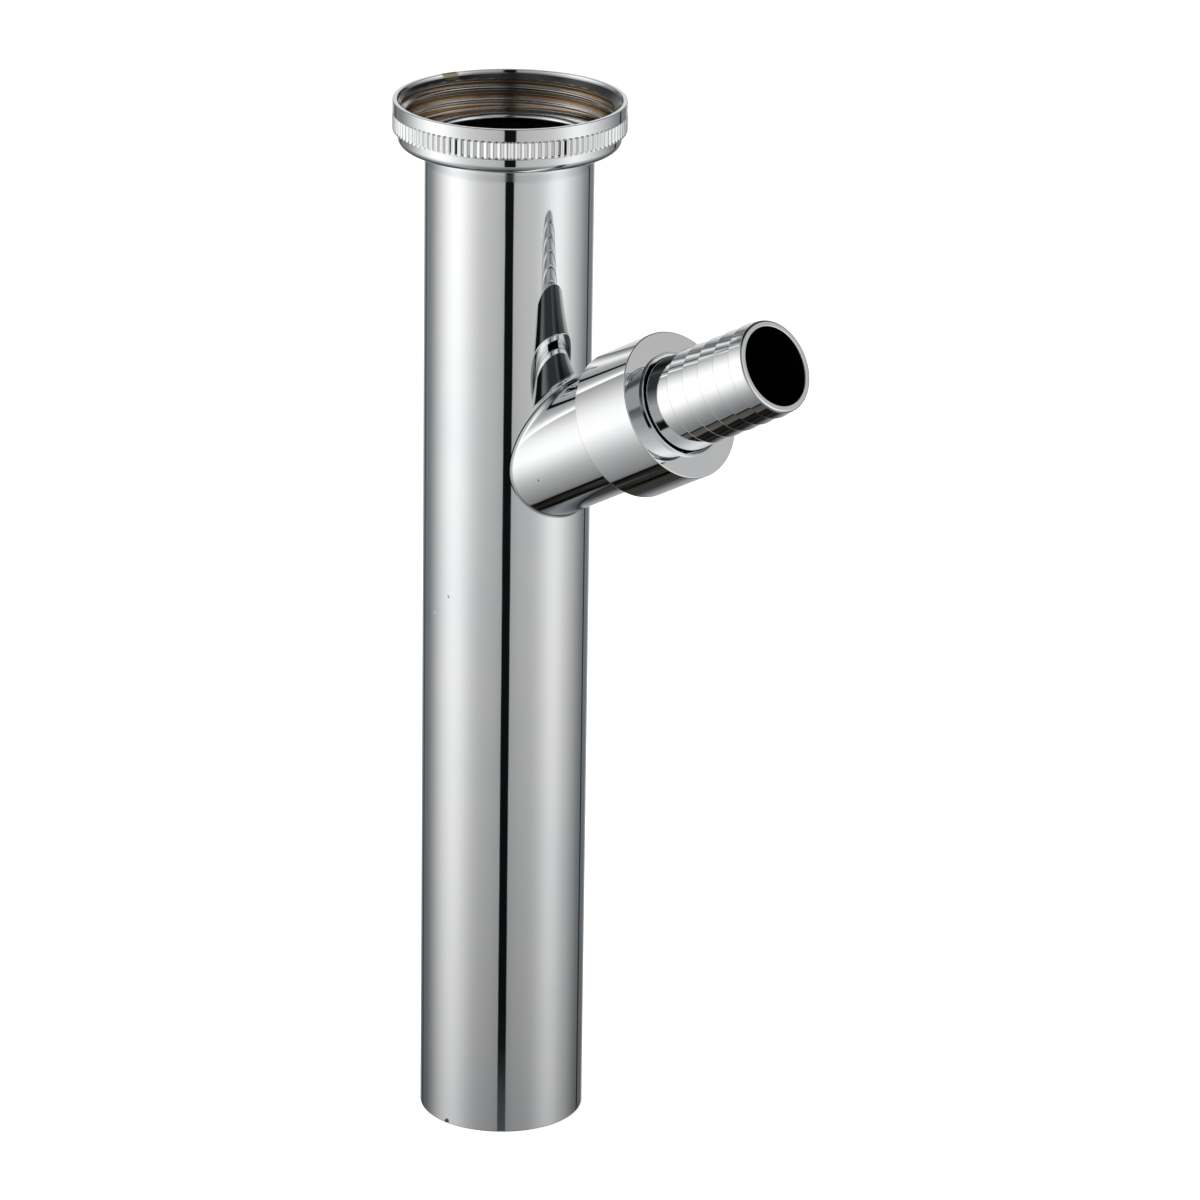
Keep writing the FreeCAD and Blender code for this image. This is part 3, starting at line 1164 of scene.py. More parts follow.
    @staticmethod
    def on_pipe(branch: Branch, pipe: float, turn: float, along: float) -> Facet:
        """Place a point on a pipe about the branch's axis.

        Args:
            branch: The axis of the branch.
            pipe: Radius of the pipe.
            turn: Angle round the branch.
            along: Distance along the branch.

        Returns:
            The point and the way out of the pipe there.
        """
        across, lift = math.cos(turn), math.sin(turn)
        out = Vector((-math.sin(branch.rise) * lift, across, math.cos(branch.rise) * lift))
        return branch.foot + branch.way * along + out * pipe, out

    def add_ported_wall(
        self, shell: Shell, branch: Branch, radius: float, slot: int
    ) -> list[float]:
        """Add the band of a wall that holds the port.

        Args:
            shell: The mesh in the making.
            branch: The axis of the branch.
            radius: The wall's radius.
            slot: OUTSIDE, or INSIDE for the bore.

        Returns:
            The angles round the branch that the port's edge is divided at.
        """
        low, high = self.band
        half, step = self.patch_half, self.arc_step(radius)

        def bare(arc: float, height: float) -> Facet:
            """Return a place on the wall, facing away from the metal."""
            point, out = self.on_wall(radius, arc, height)
            return point, out if slot == OUTSIDE else -out

        rows = []
        for j in range(self.BAND_ROWS + 1):
            height = low + (high - low) * j / self.BAND_ROWS
            rows.append([bare(i * step, height) for i in range(half, self.COLUMNS - half + 1)])
        shell.grid(rows, False, slot)

        border = self.rim_of_patch(radius)
        centre = (low + high) / 2
        wide, tall = half * step, (high - low) / 2
        turns = [math.atan2((height - centre) / tall, arc / wide) for arc, height in border]
        edge = [self.port_edge(branch, radius, turn, slot) for turn in turns]
        rows = []
        for j in range(self.PATCH_ROWS + 1):
            share = j / self.PATCH_ROWS
            row = []
            for (arc, height), (end_arc, end_height) in zip(edge, border):
                arc += (end_arc - arc) * share
                height += (end_height - height) * share
                row.append(bare(arc, height))
            rows.append(row)
        shell.grid(rows, slot=slot)
        return turns

    def port_edge(self, branch: Branch, radius: float, turn: float, slot: int) -> Pair:
        """Return where the flat part of a wall ends at the port, as arc length and height.

        Args:
            branch: The axis of the branch.
            radius: The wall's radius.
            turn: Angle round the branch.
            slot: OUTSIDE, where the braze keeps the edge back, or INSIDE for the bore.

        Returns:
            The place on the unrolled wall.
        """
        pipe = self.stub if slot == OUTSIDE else self.stub_bore

        def seam(angle: float) -> Vector:
            """Find where pipe and wall meet.

            Args:
                angle: Angle round the branch.

            Returns:
                Arc length and height on the unrolled wall.
            """
            across, along = self.saddle(branch, radius, pipe, angle)
            height = self.on_pipe(branch, pipe, angle, along)[0].z
            return Vector((across * radius, height))

        edge = seam(turn)
        if slot == OUTSIDE:
            ahead = (seam(turn + self.SEAM_STEP) - seam(turn - self.SEAM_STEP)).normalized()
            edge += Vector((ahead.y, -ahead.x)) * (self.braze_on_tube + self.crotch(turn))
        return edge.x, edge.y

    def crotch(self, turn: float) -> float:
        """Return how much further the braze runs at an angle round the branch."""
        return self.braze_in_crotch * max(0.0, math.sin(turn)) ** 2

    def braze(self, branch: Branch, turn: float) -> list[Vector]:
        """Run the braze from tube to stub at one angle round the branch.

        Args:
            branch: The axis of the branch.
            turn: The angle.

        Returns:
            Its points.
        """
        edge = self.port_edge(branch, self.radius, turn, OUTSIDE)
        start, out = self.on_wall(self.radius, *edge)
        _, along = self.saddle(branch, self.radius, self.stub, turn)
        corner, _ = self.on_pipe(branch, self.stub, turn, along)
        climb = self.braze_on_stub + self.crotch(turn)
        end, _ = self.on_pipe(branch, self.stub, turn, along + climb)
        inward = corner - start
        inward = (inward - out * inward.dot(out)).normalized()
        first = start + inward * (self.braze_on_tube + self.crotch(turn)) * self.BRAZE_BELLY
        second = end - branch.way * climb * self.BRAZE_BELLY
        points = []
        for j in range(self.BRAZE_ROWS + 1):
            t = j / self.BRAZE_ROWS
            s = 1.0 - t
            points.append(
                start * s**3 + first * 3 * s * s * t + second * 3 * s * t * t + end * t**3
            )
        return points

    def braze_rows(self, branch: Branch, turns: Sequence[float]) -> list[list[Facet]]:
        """Return the rows of the braze, from its edge on the tube to its edge on the stub.

        Args:
            branch: The axis of the branch.
            turns: The angles round the branch of its columns.

        Returns:
            The rows, which face as the wall does at the first and as the stub does at the last.
        """
        lines = [self.braze(branch, turn) for turn in turns]
        beside = [self.braze(branch, turn + self.BRAZE_STEP) for turn in turns]
        last = self.BRAZE_ROWS
        rows = []
        for j in range(last + 1):
            row = []
            for line, ahead, turn in zip(lines, beside, turns):
                point = line[j]
                wall = Vector((point.x, point.y, 0.0)).normalized()
                _, pipe = self.on_pipe(branch, self.stub, turn, 0.0)
                out = (ahead[j] - point).cross(line[min(j + 1, last)] - line[max(j - 1, 0)])
                out = out.normalized() if out.dot(wall + pipe) > 0 else -out.normalized()
                row.append((point, wall if j == 0 else pipe if j == last else out))
            rows.append(row)
        return rows

    def add_stub(self, shell: Shell, branch: Branch, turns: Sequence[float]) -> None:
        """Add the braze, the stub with its boss, and the port through it.

        Args:
            shell: The mesh in the making.
            branch: The axis of the branch.
            turns: The angles round the branch of the stub's columns.
        """

        def ring(pipe: float, along: float, facing: float, tilt: float = 0.0) -> list[Facet]:
            """Lay a circle about the branch's axis.

            Args:
                pipe: Its radius.
                along: Its distance along the branch.
                facing: 1 to face out of the pipe, -1 into it.
                tilt: 1 to face along the branch, -1 back along it.

            Returns:
                Its corners.
            """
            row = []
            for turn in turns:
                point, out = self.on_pipe(branch, pipe, turn, along)
                row.append((point, out * facing + branch.way * tilt))
            return row

        braze = self.braze_rows(branch, turns)
        shell.grid(braze)
        shell.grid([braze[-1], ring(self.stub, self.boss_foot, 1.0)])
        corners = (
            (self.stub, self.boss_foot),
            (self.boss, self.boss_foot),
            (self.boss, self.stub_end),
            (self.stub_bore, self.stub_end),
        )
        for start, end, facing in zip(corners, corners[1:], ((0.0, -1.0), (1.0, 0.0), (0.0, 1.0))):
            shell.grid([ring(*start, *facing), ring(*end, *facing)])
        mouth = []
        for turn in turns:
            _, along = self.saddle(branch, self.bore, self.stub_bore, turn)
            point, out = self.on_pipe(branch, self.stub_bore, turn, along)
            mouth.append((point, -out))
        shell.grid([mouth, ring(self.stub_bore, self.stub_end, -1.0)], slot=INSIDE)


@dataclass(frozen=True)
class SlipNut:
    """The captive nut: a plain band, a knurl, a smooth foot and a threaded mouth.

    Attributes:
        seat: Height of the seat under the flange.
        rim: Height of the rim.
        radius: Outside radius.
        eye: Radius of the hole round the tube.
        land: Radius of the land above the seat.
        land_height: Height of that land.
        crest: Crest radius of the thread.
        root: Root radius of the thread.
        pitch: Pitch of the thread.
        mouth: Radius of the mouth at the rim.
        wall: Height of the steep wall inside the rim.
        draft: How far that wall leans in.
        wall_round: Rounding between that wall and the cone below it.
        cone: Height of the cone from that wall down to the crest of the thread.
        lip: Height of the part of the cone that stands over the thread's roots.
        lead: Where in its turn the thread starts.
        height: Rim to underside.
        band: Height of the plain band.
        knurl: Height of the knurled band.
        knurl_depth: Depth of its grooves.
        ridge: Width of the flat crest of each ridge.
        cap: Height of each groove's rounded ends.
        scatter: Share by which the grooves differ in width and depth.
        ridges: Number of its ridges.
        foot: Radius of the smooth foot.
        slope: Height of the bevel into the foot.
        under_cone: Height of the coned underside.
        foot_round: Rounding of the foot into the cone.
    """

    seat: float = 196.95 * MM
    rim: float = 205.0 * MM
    radius: float = 22.05 * MM
    eye: float = 16.1 * MM
    land: float = 18.9 * MM
    land_height: float = 1.1 * MM
    crest: float = 19.48 * MM
    root: float = 20.95 * MM
    pitch: float = 2.309 * MM
    mouth: float = 21.2 * MM
    wall: float = 0.65 * MM
    draft: float = 0.15 * MM
    wall_round: float = 0.4 * MM
    cone: float = 1.3 * MM
    lip: float = 0.5 * MM
    lead: float = 0.48
    height: float = 9.45 * MM
    band: float = 2.27 * MM
    knurl: float = 3.43 * MM
    knurl_depth: float = 0.3 * MM
    ridge: float = 0.12 * MM
    cap: float = 0.4 * MM
    scatter: float = 0.14
    ridges: int = 108
    foot: float = 21.1 * MM
    slope: float = 0.3 * MM
    under_cone: float = 0.85 * MM
    foot_round: float = 1.6 * MM

    COLUMNS = 288
    GROOVE_COLUMNS = 14
    KNURL_ROWS = 44
    THREAD_ROWS = 150
    # Gap between the thread's roots and the body behind it, and how far the sleeve fills it.
    LINER = 0.03 * MM
    LINER_BACK = 0.9
    # How far the body is turned down behind the knurl.
    WAIST = 0.5 * MM
    RIM_ROUND = 0.15 * MM
    SMALL_ROUND = 0.1 * MM
    # Between root and crest of a tooth, where its flank begins and where it ends.
    TOOTH_FLANK = (0.10, 0.86)

    @property
    def waist(self) -> Pair:
        """Lowest and highest height of the knurl."""
        high = self.rim - self.band
        return high - self.knurl, high

    def build_shell(self, finish: Chrome) -> bpy.types.Object:
        """Build the nut's body, closed behind the knurl and behind the thread.

        Args:
            finish: Its plating.

        Returns:
            The piece.
        """
        under = self.rim - self.height
        hem, waist = self.waist
        behind = self.root + self.LINER
        wall_foot = self.rim - self.wall
        lip_radius = self.mouth - self.draft
        lip_radius -= (lip_radius - self.crest) * self.lip / self.cone
        spans = outline(
            (
                Corner(self.eye, under, self.SMALL_ROUND),
                Corner(self.foot, under + self.under_cone, self.foot_round),
                Corner(self.foot, hem - self.slope, self.SMALL_ROUND),
                Corner(self.radius, hem),
                Corner(self.radius - self.WAIST, hem),
                Corner(self.radius - self.WAIST, waist),
                Corner(self.radius, waist),
                Corner(self.radius, self.rim, self.RIM_ROUND),
                Corner(self.mouth, self.rim, self.RIM_ROUND),
                Corner(self.mouth - self.draft, wall_foot, self.wall_round),
                Corner(lip_radius, wall_foot - self.lip),
                Corner(behind, wall_foot - self.lip),
                Corner(behind, self.seat + self.land_height),
                Corner(self.land, self.seat + self.land_height),
                Corner(self.land, self.seat),
                Corner(self.eye, self.seat),
            )
        )
        shell = Shell()
        shell.turn(spans, even_angles(self.COLUMNS))
        return shell.finish("nut_body", (finish.build(),))

    def build_knurl(self, finish: bpy.types.Material) -> bpy.types.Object:
        """Build the knurled sleeve: V grooves with rounded ends between narrow ridges.

        Args:
            finish: The body's material.

        Returns:
            The piece.
        """
        low, high = self.waist
        pitch = math.tau * self.radius / self.ridges
        rule = Rule(
            "nut_knurl",
            {
                "Foot": low,
                "Top": high,
                "Radius": self.radius,
                "Inner radius": self.radius - self.WAIST,
                "Groove depth": self.knurl_depth,
                "Groove share": 1.0 - self.ridge / pitch,
                "End height": self.cap,
                "Scatter": self.scatter,
                "Ridges": self.ridges,
                "Columns": self.ridges * self.GROOVE_COLUMNS,
                "Rows": self.KNURL_ROWS,
            },
        )
        sleeve = rule.sleeve("Foot", "Top")
        count = sleeve.angle * rule.size("Ridges") / math.tau
        phase = count.maths("FRACT")
        kind, seed = {"noise_dimensions": "1D"}, {"W": count.maths("FLOOR")}
        chance = rule.graph.flow("ShaderNodeTexWhiteNoise", kind, seed, "Value")
        share = rule.size("Groove share") - chance * rule.size("Scatter")
        across = (phase - 0.5).size() * 2.0 / share
        middle = (rule.size("Foot") + rule.size("Top")) * 0.5
        half = (rule.size("Top") - rule.size("Foot")) * 0.5
        from_end = (sleeve.height - middle).size() - (half - rule.size("End height"))
        along = (from_end / rule.size("End height")).at_least(0.0)
        depth = 1.0 - (across * across + along * along).maths("SQRT")
        cut = rule.size("Groove depth") * (1.0 - chance * rule.size("Scatter"))
        radius = rule.size("Radius") - cut * depth.at_least(0.0)
        return rule.make(rule.roll_up(sleeve, radius, rule.size("Inner radius")), finish)

    def build_thread(self, finish: bpy.types.Material) -> bpy.types.Object:
        """Build the threaded wall of the mouth, with the cone that cuts its last turn.

        Args:
            finish: Its material.

        Returns:
            The piece.
        """
        rule = Rule(
            "nut_thread",
            {
                "Foot": self.seat + self.land_height,
                "Top": self.rim - self.wall - self.lip,
                "Crest radius": self.crest,
                "Root radius": self.root,
                "Pitch": self.pitch,
                "Lead": self.lead,
                "Cone top": self.rim - self.wall,
                "Cone radius": self.mouth - self.draft,
                "Cone height": self.cone,
                "Liner radius": self.root + self.LINER * self.LINER_BACK,
                "Columns": self.COLUMNS,
                "Rows": self.THREAD_ROWS,
            },
        )
        crest, root = rule.size("Crest radius"), rule.size("Root radius")
        sleeve = rule.sleeve("Foot", "Top")
        turns = sleeve.height / rule.size("Pitch") - sleeve.angle / math.tau
        phase = (turns + rule.size("Lead")).maths("FRACT")
        tooth = (1.0 - (phase - 0.5).size() * 2.0).rise(*self.TOOTH_FLANK)
        thread = root - (root - crest) * tooth
        down = (rule.size("Cone top") - sleeve.height) / rule.size("Cone height")
        cone = rule.size("Cone radius") - (rule.size("Cone radius") - crest) * down
        radius = thread.at_least(cone).at_most(rule.size("Liner radius"))
        return rule.make(rule.roll_up(sleeve, radius, rule.size("Liner radius")), finish)


@dataclass(frozen=True)
class UnionRing:
    """The smooth coupling ring on the boss.

    Attributes:
        radius: Outside radius.
        thread: Radius of its threaded wall.
        mouth: Radius of the hole in its lip.
        collar: Outside radius of the thin collar round the mouth.
        collar_stand: How far that collar stands out of the face.
        back: Tube axis to its back face, along the branch.
        face: Tube axis to its front face.
        lip: Thickness of its lip.
        edge: Rounding of its outer edges.
    """

    radius: float = 14.2 * MM
    thread: float = 12.64 * MM
    mouth: float = 9.7 * MM
    collar: float = 10.05 * MM
    collar_stand: float = 0.5 * MM
    back: float = 35.2 * MM
    face: float = 48.7 * MM
    lip: float = 2.0 * MM
    edge: float = 0.22 * MM

    COLUMNS = 256
    BACK_ROUND = 0.2 * MM
    COLLAR_ROUND = 0.1 * MM

    def build(self, branch: Branch, finish: Chrome) -> bpy.types.Object:
        """Build the ring with the collar round its mouth.

        Args:
            branch: The axis of the branch.
            finish: Its plating.

        Returns:
            The piece.
        """
        top = self.face + self.collar_stand
        spans = outline(
            (
                Corner(self.thread, self.back, self.BACK_ROUND),
                Corner(self.radius, self.back, self.edge),
                Corner(self.radius, self.face, self.edge),
                Corner(self.collar, self.face),
                Corner(self.collar, top, self.COLLAR_ROUND),
                Corner(self.mouth, top, self.COLLAR_ROUND),
                Corner(self.mouth, self.face - self.lip),
                Corner(self.thread, self.face - self.lip),
            )
        )
        shell = Shell(branch.place)
        shell.turn(spans, even_angles(self.COLUMNS))
        return shell.finish("coupling_ring", (finish.build(),))


@dataclass(frozen=True)
class HoseTail:
    """The hose tail: trapped flange, shoulder, neck, barbs and tip.

    Attributes:
        bore: Bore radius.
        back: Tube axis to its back end, along the branch.
        seat: Tube axis to the ring's lip.
        flange: Radius of the trapped flange.
        shoulder: Radius of the shoulder.
        front: Tube axis to where the shoulder starts to taper towards the first barb.
        neck: Radius at the foot of each barb.
        crest: Radius over the barbs.
        first: Tube axis to the first barb.
        pitch: Distance from barb to barb.
        barbs: Number of barbs.
        land: Distance from the last barb to the tip.
        tip_round: Rounding of the tip.
    """

    bore: float = 7.55 * MM
    back: float = 44.7 * MM
    seat: float = 46.7 * MM
    flange: float = 12.1 * MM
    shoulder: float = 9.25 * MM
    front: float = 49.3 * MM
    neck: float = 8.7 * MM
    crest: float = 9.15 * MM
    first: float = 54.58 * MM
    pitch: float = 4.08 * MM
    barbs: int = 5
    land: float = 3.4 * MM
    tip_round: float = 0.5 * MM

    COLUMNS = 224
    SLEEVE_ROWS = 240
    SLEEVE_BORE = 8.05 * MM
    SLEEVE_GAP = 0.1 * MM
    CORE_STEP = 0.4 * MM
    EDGE_ROUND = 0.2 * MM
    TIP_TAPER = 0.05 * MM
    TIP_SHARE = 1.05
    # Share of the pitch over which a barb steps up.
    STEP_SHARE = 0.08
    # Keeps a row that stands right at a barb's foot with that barb.
    PHASE_NUDGE = 0.00001

    @property
    def tip(self) -> float:
        """Tube axis to the tip, along the branch."""
        return self.first + self.pitch * (self.barbs - 1) + self.land

    @property
    def sleeve_end(self) -> float:
        """Where the barbed sleeve ends and the rounding of the tip begins."""
        return self.tip - self.tip_round * self.TIP_SHARE

    @property
    def end_radius(self) -> float:
        """Radius of the last cone where the sleeve ends."""
        share = (self.sleeve_end - self.tip + self.land) / self.pitch
        return self.crest - (self.crest - self.neck) * share

    def build_core(self, branch: Branch, finish: Chrome, bore_finish: DullBore) -> bpy.types.Object:
        """Build the turned core, from the trapped flange to the tip.

        Args:
            branch: The axis of the branch.
            finish: The outside.
            bore_finish: The inside.

        Returns:
            The piece.
        """
        under, foot = self.neck - self.CORE_STEP, self.first + self.SLEEVE_GAP
        spans = outline(
            (
                Corner(self.bore, self.back, self.EDGE_ROUND),
                Corner(self.flange, self.back),
                Corner(self.flange, self.seat),
                Corner(self.shoulder, self.seat),
                Corner(self.shoulder, self.front, self.EDGE_ROUND),
                Corner(self.neck, foot),
                Corner(under, foot),
                Corner(under, self.sleeve_end),
                Corner(self.end_radius, self.sleeve_end),
                Corner(self.end_radius - self.TIP_TAPER, self.tip, self.tip_round),
                Corner(self.bore, self.tip, self.EDGE_ROUND),
            )
        )
        shell = Shell(branch.place)
        columns = even_angles(self.COLUMNS)
        shell.turn(spans[:-1], columns)
        shell.turn(spans[-1:], columns, INSIDE)
        return shell.finish("tail_core", (finish.build(), bore_finish.build()))

    def build_barbs(self, branch: Branch, finish: bpy.types.Material) -> bpy.types.Object:
        """Build the barbed sleeve: each barb steps up and tapers to the next.

        Args:
            branch: The axis of the branch.
            finish: The material of the core's outside.

        Returns:
            The piece.
        """
        rule = Rule(
            "tail_barbs",
            {
                "First": self.first,
                "End": self.sleeve_end,
                "Foot radius": self.neck,
                "Crest radius": self.crest,
                "Sleeve bore": self.SLEEVE_BORE,
                "Pitch": self.pitch,
                "Step share": self.STEP_SHARE,
                "Columns": self.COLUMNS,
                "Rows": self.SLEEVE_ROWS,
            },
        )
        step, foot = rule.size("Step share"), rule.size("Foot radius")
        sleeve = rule.sleeve("First", "End")
        barb = (sleeve.height - rule.size("First")) / rule.size("Pitch") + self.PHASE_NUDGE
        phase = barb.maths("FRACT")
        climb = (phase / step).at_most(1.0)
        climb = climb * climb * (3.0 - climb * 2.0)
        fall = (phase - step).at_least(0.0) / (1.0 - step)
        radius = foot + (rule.size("Crest radius") - foot) * (climb - fall)
        rolled = rule.roll_up(sleeve, radius, rule.size("Sleeve bore"))
        return rule.make(rolled, finish, branch.place)


# Studio


@dataclass(frozen=True)
class Gaze:
    """The direction that a ray leaves the object in.

    Attributes:
        way: The unit vector along it.
        bearing: Degrees from the line back to the camera, positive to its right.
        turned: The bearing without its sign.
        elevation: Degrees above the horizon.
    """

    way: Flow
    bearing: Flow
    turned: Flow
    elevation: Flow

    @classmethod
    def of_world(cls, graph: Graph, to_camera: Vector) -> "Gaze":
        """Return the direction as the world's nodes know it.

        Args:
            graph: The world's graph.
            to_camera: Level unit vector from the object back to the camera.

        Returns:
            The direction with its angles.
        """
        way = graph.flow("ShaderNodeTexCoord", output="Generated")
        across = graph.dot(way, (-to_camera.y, to_camera.x, 0.0))
        bearing = across.maths("ARCTAN2", graph.dot(way, to_camera)) * math.degrees(1.0)
        elevation = graph.dot(way, UP).maths("ARCSINE") * math.degrees(1.0)
        return cls(way, bearing, bearing.size(), elevation)


@dataclass(frozen=True)
class SoftBox:
    """A broad soft light that the chrome mirrors.

    Attributes:
        bearing: Where it stands.
        width: Degrees at which it has faded to about a third.
        strength: Brightness in its middle.
    """

    bearing: float
    width: float
    strength: float

    def shine(self, gaze: Gaze) -> Flow:
        """Return its light along a direction."""
        return ((gaze.bearing - self.bearing) / self.width).bell() * self.strength


@dataclass(frozen=True)
class Flag:
    """A dark upright strip between the lights.

    Attributes:
        bearing: Where it stands.
        half: Half of its width in degrees.
        edge: Softness of its edges in degrees.
        depth: How much of the light it takes away.
    """

    bearing: float
    half: float
    edge: float
    depth: float

    def shade(self, gaze: Gaze, spread: Flow | float = 0.0) -> Flow:
        """Return how much light the strip takes away.

        Args:
            gaze: The direction looked in.
            spread: Degrees by which the strip is wider and softer there.

        Returns:
            A share of the light.
        """
        off = (gaze.bearing - self.bearing).size()
        edge = spread + self.edge
        return ((edge + self.half + spread - off) / (edge * 2.0)).rise(0.0, 1.0) * self.depth


@dataclass(frozen=True)
class Zone:
    """A part of the surroundings with soft edges.

    Attributes:
        bearing: Bearings between which it sets in.
        elevation: Elevations between which it sets in.
        share: How much it counts for, from 0 to 1.
        both_sides: Whether it lies on both sides of the camera's line, not only on the right.
    """

    bearing: Pair
    elevation: Pair
    share: float
    both_sides: bool = True

    def cover(self, gaze: Gaze) -> Flow:
        """Return how much it counts for along a direction."""
        bearing = gaze.turned if self.both_sides else gaze.bearing
        return gaze.elevation.rise(*self.elevation) * bearing.rise(*self.bearing) * self.share


def dimmed(light: Flow, gaze: Gaze, zones: Sequence[Zone]) -> Flow:
    """Dim a light by zones.

    Args:
        light: The light.
        gaze: The direction looked in.
        zones: The zones, each taking its share away.

    Returns:
        The light that is left.
    """
    for part in [light * zone.cover(gaze) for zone in zones]:
        light = light - part
    return light


@dataclass(frozen=True)
class HighLight:
    """A soft light high up to the right of the camera, whose top edge climbs to the right.

    Attributes:
        left: Bearings between which it begins.
        right: Bearings between which it ends.
        foot: Elevations between which it begins.
        top: Elevations between which it ends at the camera's bearing.
        climb: Degrees that its top climbs for each degree to the right.
        climb_end: The most that it climbs.
        strength: Its brightness.
    """

    left: Pair = (2.0, 8.0)
    right: Pair = (84.0, 46.0)
    foot: Pair = (38.0, 46.0)
    top: Pair = (63.0, 59.0)
    climb: float = 0.42
    climb_end: float = 10.0
    strength: float = 0.35

    def shine(self, gaze: Gaze) -> Flow:
        """Light its part of the surroundings.

        Args:
            gaze: The direction looked in.

        Returns:
            Its light.
        """
        climbed = (gaze.bearing * self.climb).at_least(0.0).at_most(self.climb_end)
        tall = gaze.elevation.rise(*self.foot) * (gaze.elevation - climbed).rise(*self.top)
        wide = gaze.bearing.rise(*self.left) * gaze.bearing.rise(*self.right)
        return wide * tall * self.strength


@dataclass(frozen=True)
class Studio:
    """Soft boxes, flags and a pale floor round the object.

    Attributes:
        to_camera: Level unit vector from the object back to the camera.
        boxes: The soft boxes.
        high_light: The soft light high up.
        slit: The dark gap between the boxes, beside the camera.
        flags: Darker strips behind the object, which only the low rays meet.
        front: Brightness between the boxes.
        rear: Brightness behind the object.
        backdrop: Brightness of the lit backdrop, straight behind the object.
        ceiling: Least brightness of the dark ceiling over the camera.
    """

    to_camera: Vector
    boxes: tuple[SoftBox, ...] = (SoftBox(-76.0, 29.0, 0.52), SoftBox(71.0, 23.0, 0.37))
    high_light: HighLight = HighLight()
    slit: Flag = Flag(1.5, 5.8, 0.8, 0.985)
    flags: tuple[Flag, ...] = (Flag(-151.0, 3.0, 3.0, 0.70), Flag(139.5, 2.2, 1.5, 0.90))
    front: float = 0.44
    rear: float = 0.18
    backdrop: float = 0.60
    ceiling: float = 0.035

    # Elevations over which the light changes from the floor's to the walls', and how it does.
    LIFT = (-8.0, 17.0)
    LIFTED_FRONT = 0.2
    LIFTED_BOXES = 0.35
    LIFTED_SLIT = 1.2
    # Bearings on both sides over which the room's rear and its lit backdrop set in.
    BEHIND = (95.0, 140.0)
    BACKDROP = (154.0, 174.0)
    # What is missing from the light beside the camera, and where the light is dimmed.
    DIP = SoftBox(1.5, 14.0, 0.08)
    ROOM_ZONES = (Zone((80.0, 30.0), (24.0, 62.0), 0.6), Zone((112.0, 138.0), (14.0, 28.0), 0.62))
    BOX_ZONES = (Zone((98.0, 112.0), (22.0, 34.0), 0.6, both_sides=False),)
    # Elevations over which the slit thins out above and ends below, and where the flags end.
    SLIT_TOP = (24.0, 38.0)
    SLIT_THINNED = 0.45
    SLIT_FOOT = (-27.0, -24.0)
    FLAG_TOP = (-14.8, -15.4)
    FAR_ZONES = (
        Zone((125.0, 160.0), (-44.0, -54.0), 0.45),
        Zone((125.0, 160.0), (-55.0, -57.5), 0.26),
    )
    # The mottled floor: straight below, and further out behind the object.
    DEEP = (-71.0, -73.0)
    DEEP_BEHIND = Zone((125.0, 160.0), (-55.0, -57.5), 1.0)
    MOTTLE_NOISE = (9.0, 3.0)
    MOTTLE_SPREAD = (0.3, 0.7)
    MOTTLE = 0.6
    CEILING = Zone((100.0, 80.0), (48.0, 58.0), 1.0)
    # Brightness by elevation, from straight down at 0 to straight up at 1.
    GAIN = (
        (0.000, 0.22),
        (0.082, 0.17),
        (0.087, 0.015),
        (0.099, 0.015),
        (0.102, 0.40),
        (0.161, 0.46),
        (0.206, 0.54),
        (0.256, 0.64),
        (0.306, 0.80),
        (0.350, 0.98),
        (0.417, 1.22),
        (0.500, 1.25),
        (0.650, 1.15),
        (0.711, 0.85),
        (0.790, 0.50),
        (0.850, 0.10),
        (1.000, 0.09),
    )
    # Tints of dim, of bright and of floor light.
    COOL = (0.86, 0.94, 1.0, 1.0)
    NEUTRAL = (1.0, 1.0, 0.995, 1.0)
    WARM = (1.0, 0.94, 0.84, 1.0)
    TINT_SPREAD = (0.02, 0.5)

    SHEET_HALF = 8.0
    PAPER_SCALE = 30.0
    PAPER = (grey(0.88), grey(0.90))
    PAPER_ROUGHNESS = 0.9
    PAPER_GLOW = 0.5
    SHADE_HEIGHT = -0.5 * MM
    SHADE_REACH = 0.22
    SHADE_DEPTH = 0.42
    LAMP_PLACE = (-0.1, -0.1, 1.5)
    LAMP_SIZE = 1.6
    LAMP_POWER = 22.0

    def build(self) -> None:
        """Build the surroundings, the floor and its shade."""
        self.build_world()
        self.build_floor()
        self.build_shade()
        self.build_lamp()

    def build_world(self) -> None:
        """Paint the surroundings by bearing and by elevation."""
        world = bpy.data.worlds.new("studio")
        bpy.context.scene.world = world
        world.use_nodes = True
        world.node_tree.nodes.clear()
        graph = Graph(world.node_tree)
        gaze = Gaze.of_world(graph, self.to_camera)
        deep = gaze.elevation.rise(*self.DEEP).at_least(self.DEEP_BEHIND.cover(gaze))
        light = self.shaded(gaze, self.lit(gaze))
        height = (gaze.elevation + 90.0) / 180.0
        stops = [(place, grey(gain)) for place, gain in self.GAIN]
        light = light * graph.flow("ShaderNodeValToRGB", {"stops": stops}, {"Fac": height})
        mottle = graph.noise(gaze.way, *self.MOTTLE_NOISE).rise(*self.MOTTLE_SPREAD)
        light = light * (1.0 - deep * (1.0 - mottle) * self.MOTTLE)
        light = light.at_least(self.high_light.shine(gaze))
        light = light.at_least(self.CEILING.cover(gaze) * self.ceiling)
        tone = graph.blend(light.rise(*self.TINT_SPREAD), self.COOL, self.NEUTRAL)
        tone = graph.blend(deep, tone, self.WARM)
        values = {"Vector": tone, "Scale": light}
        colour = graph.flow("ShaderNodeVectorMath", {"operation": "SCALE"}, values)
        seen = graph.flow("ShaderNodeLightPath", output="Is Camera Ray")
        values = {"Color": graph.blend(seen, colour, grey(1.0)), "Strength": 1.0}
        graph.end(graph.flow("ShaderNodeBackground", None, values), "ShaderNodeOutputWorld")

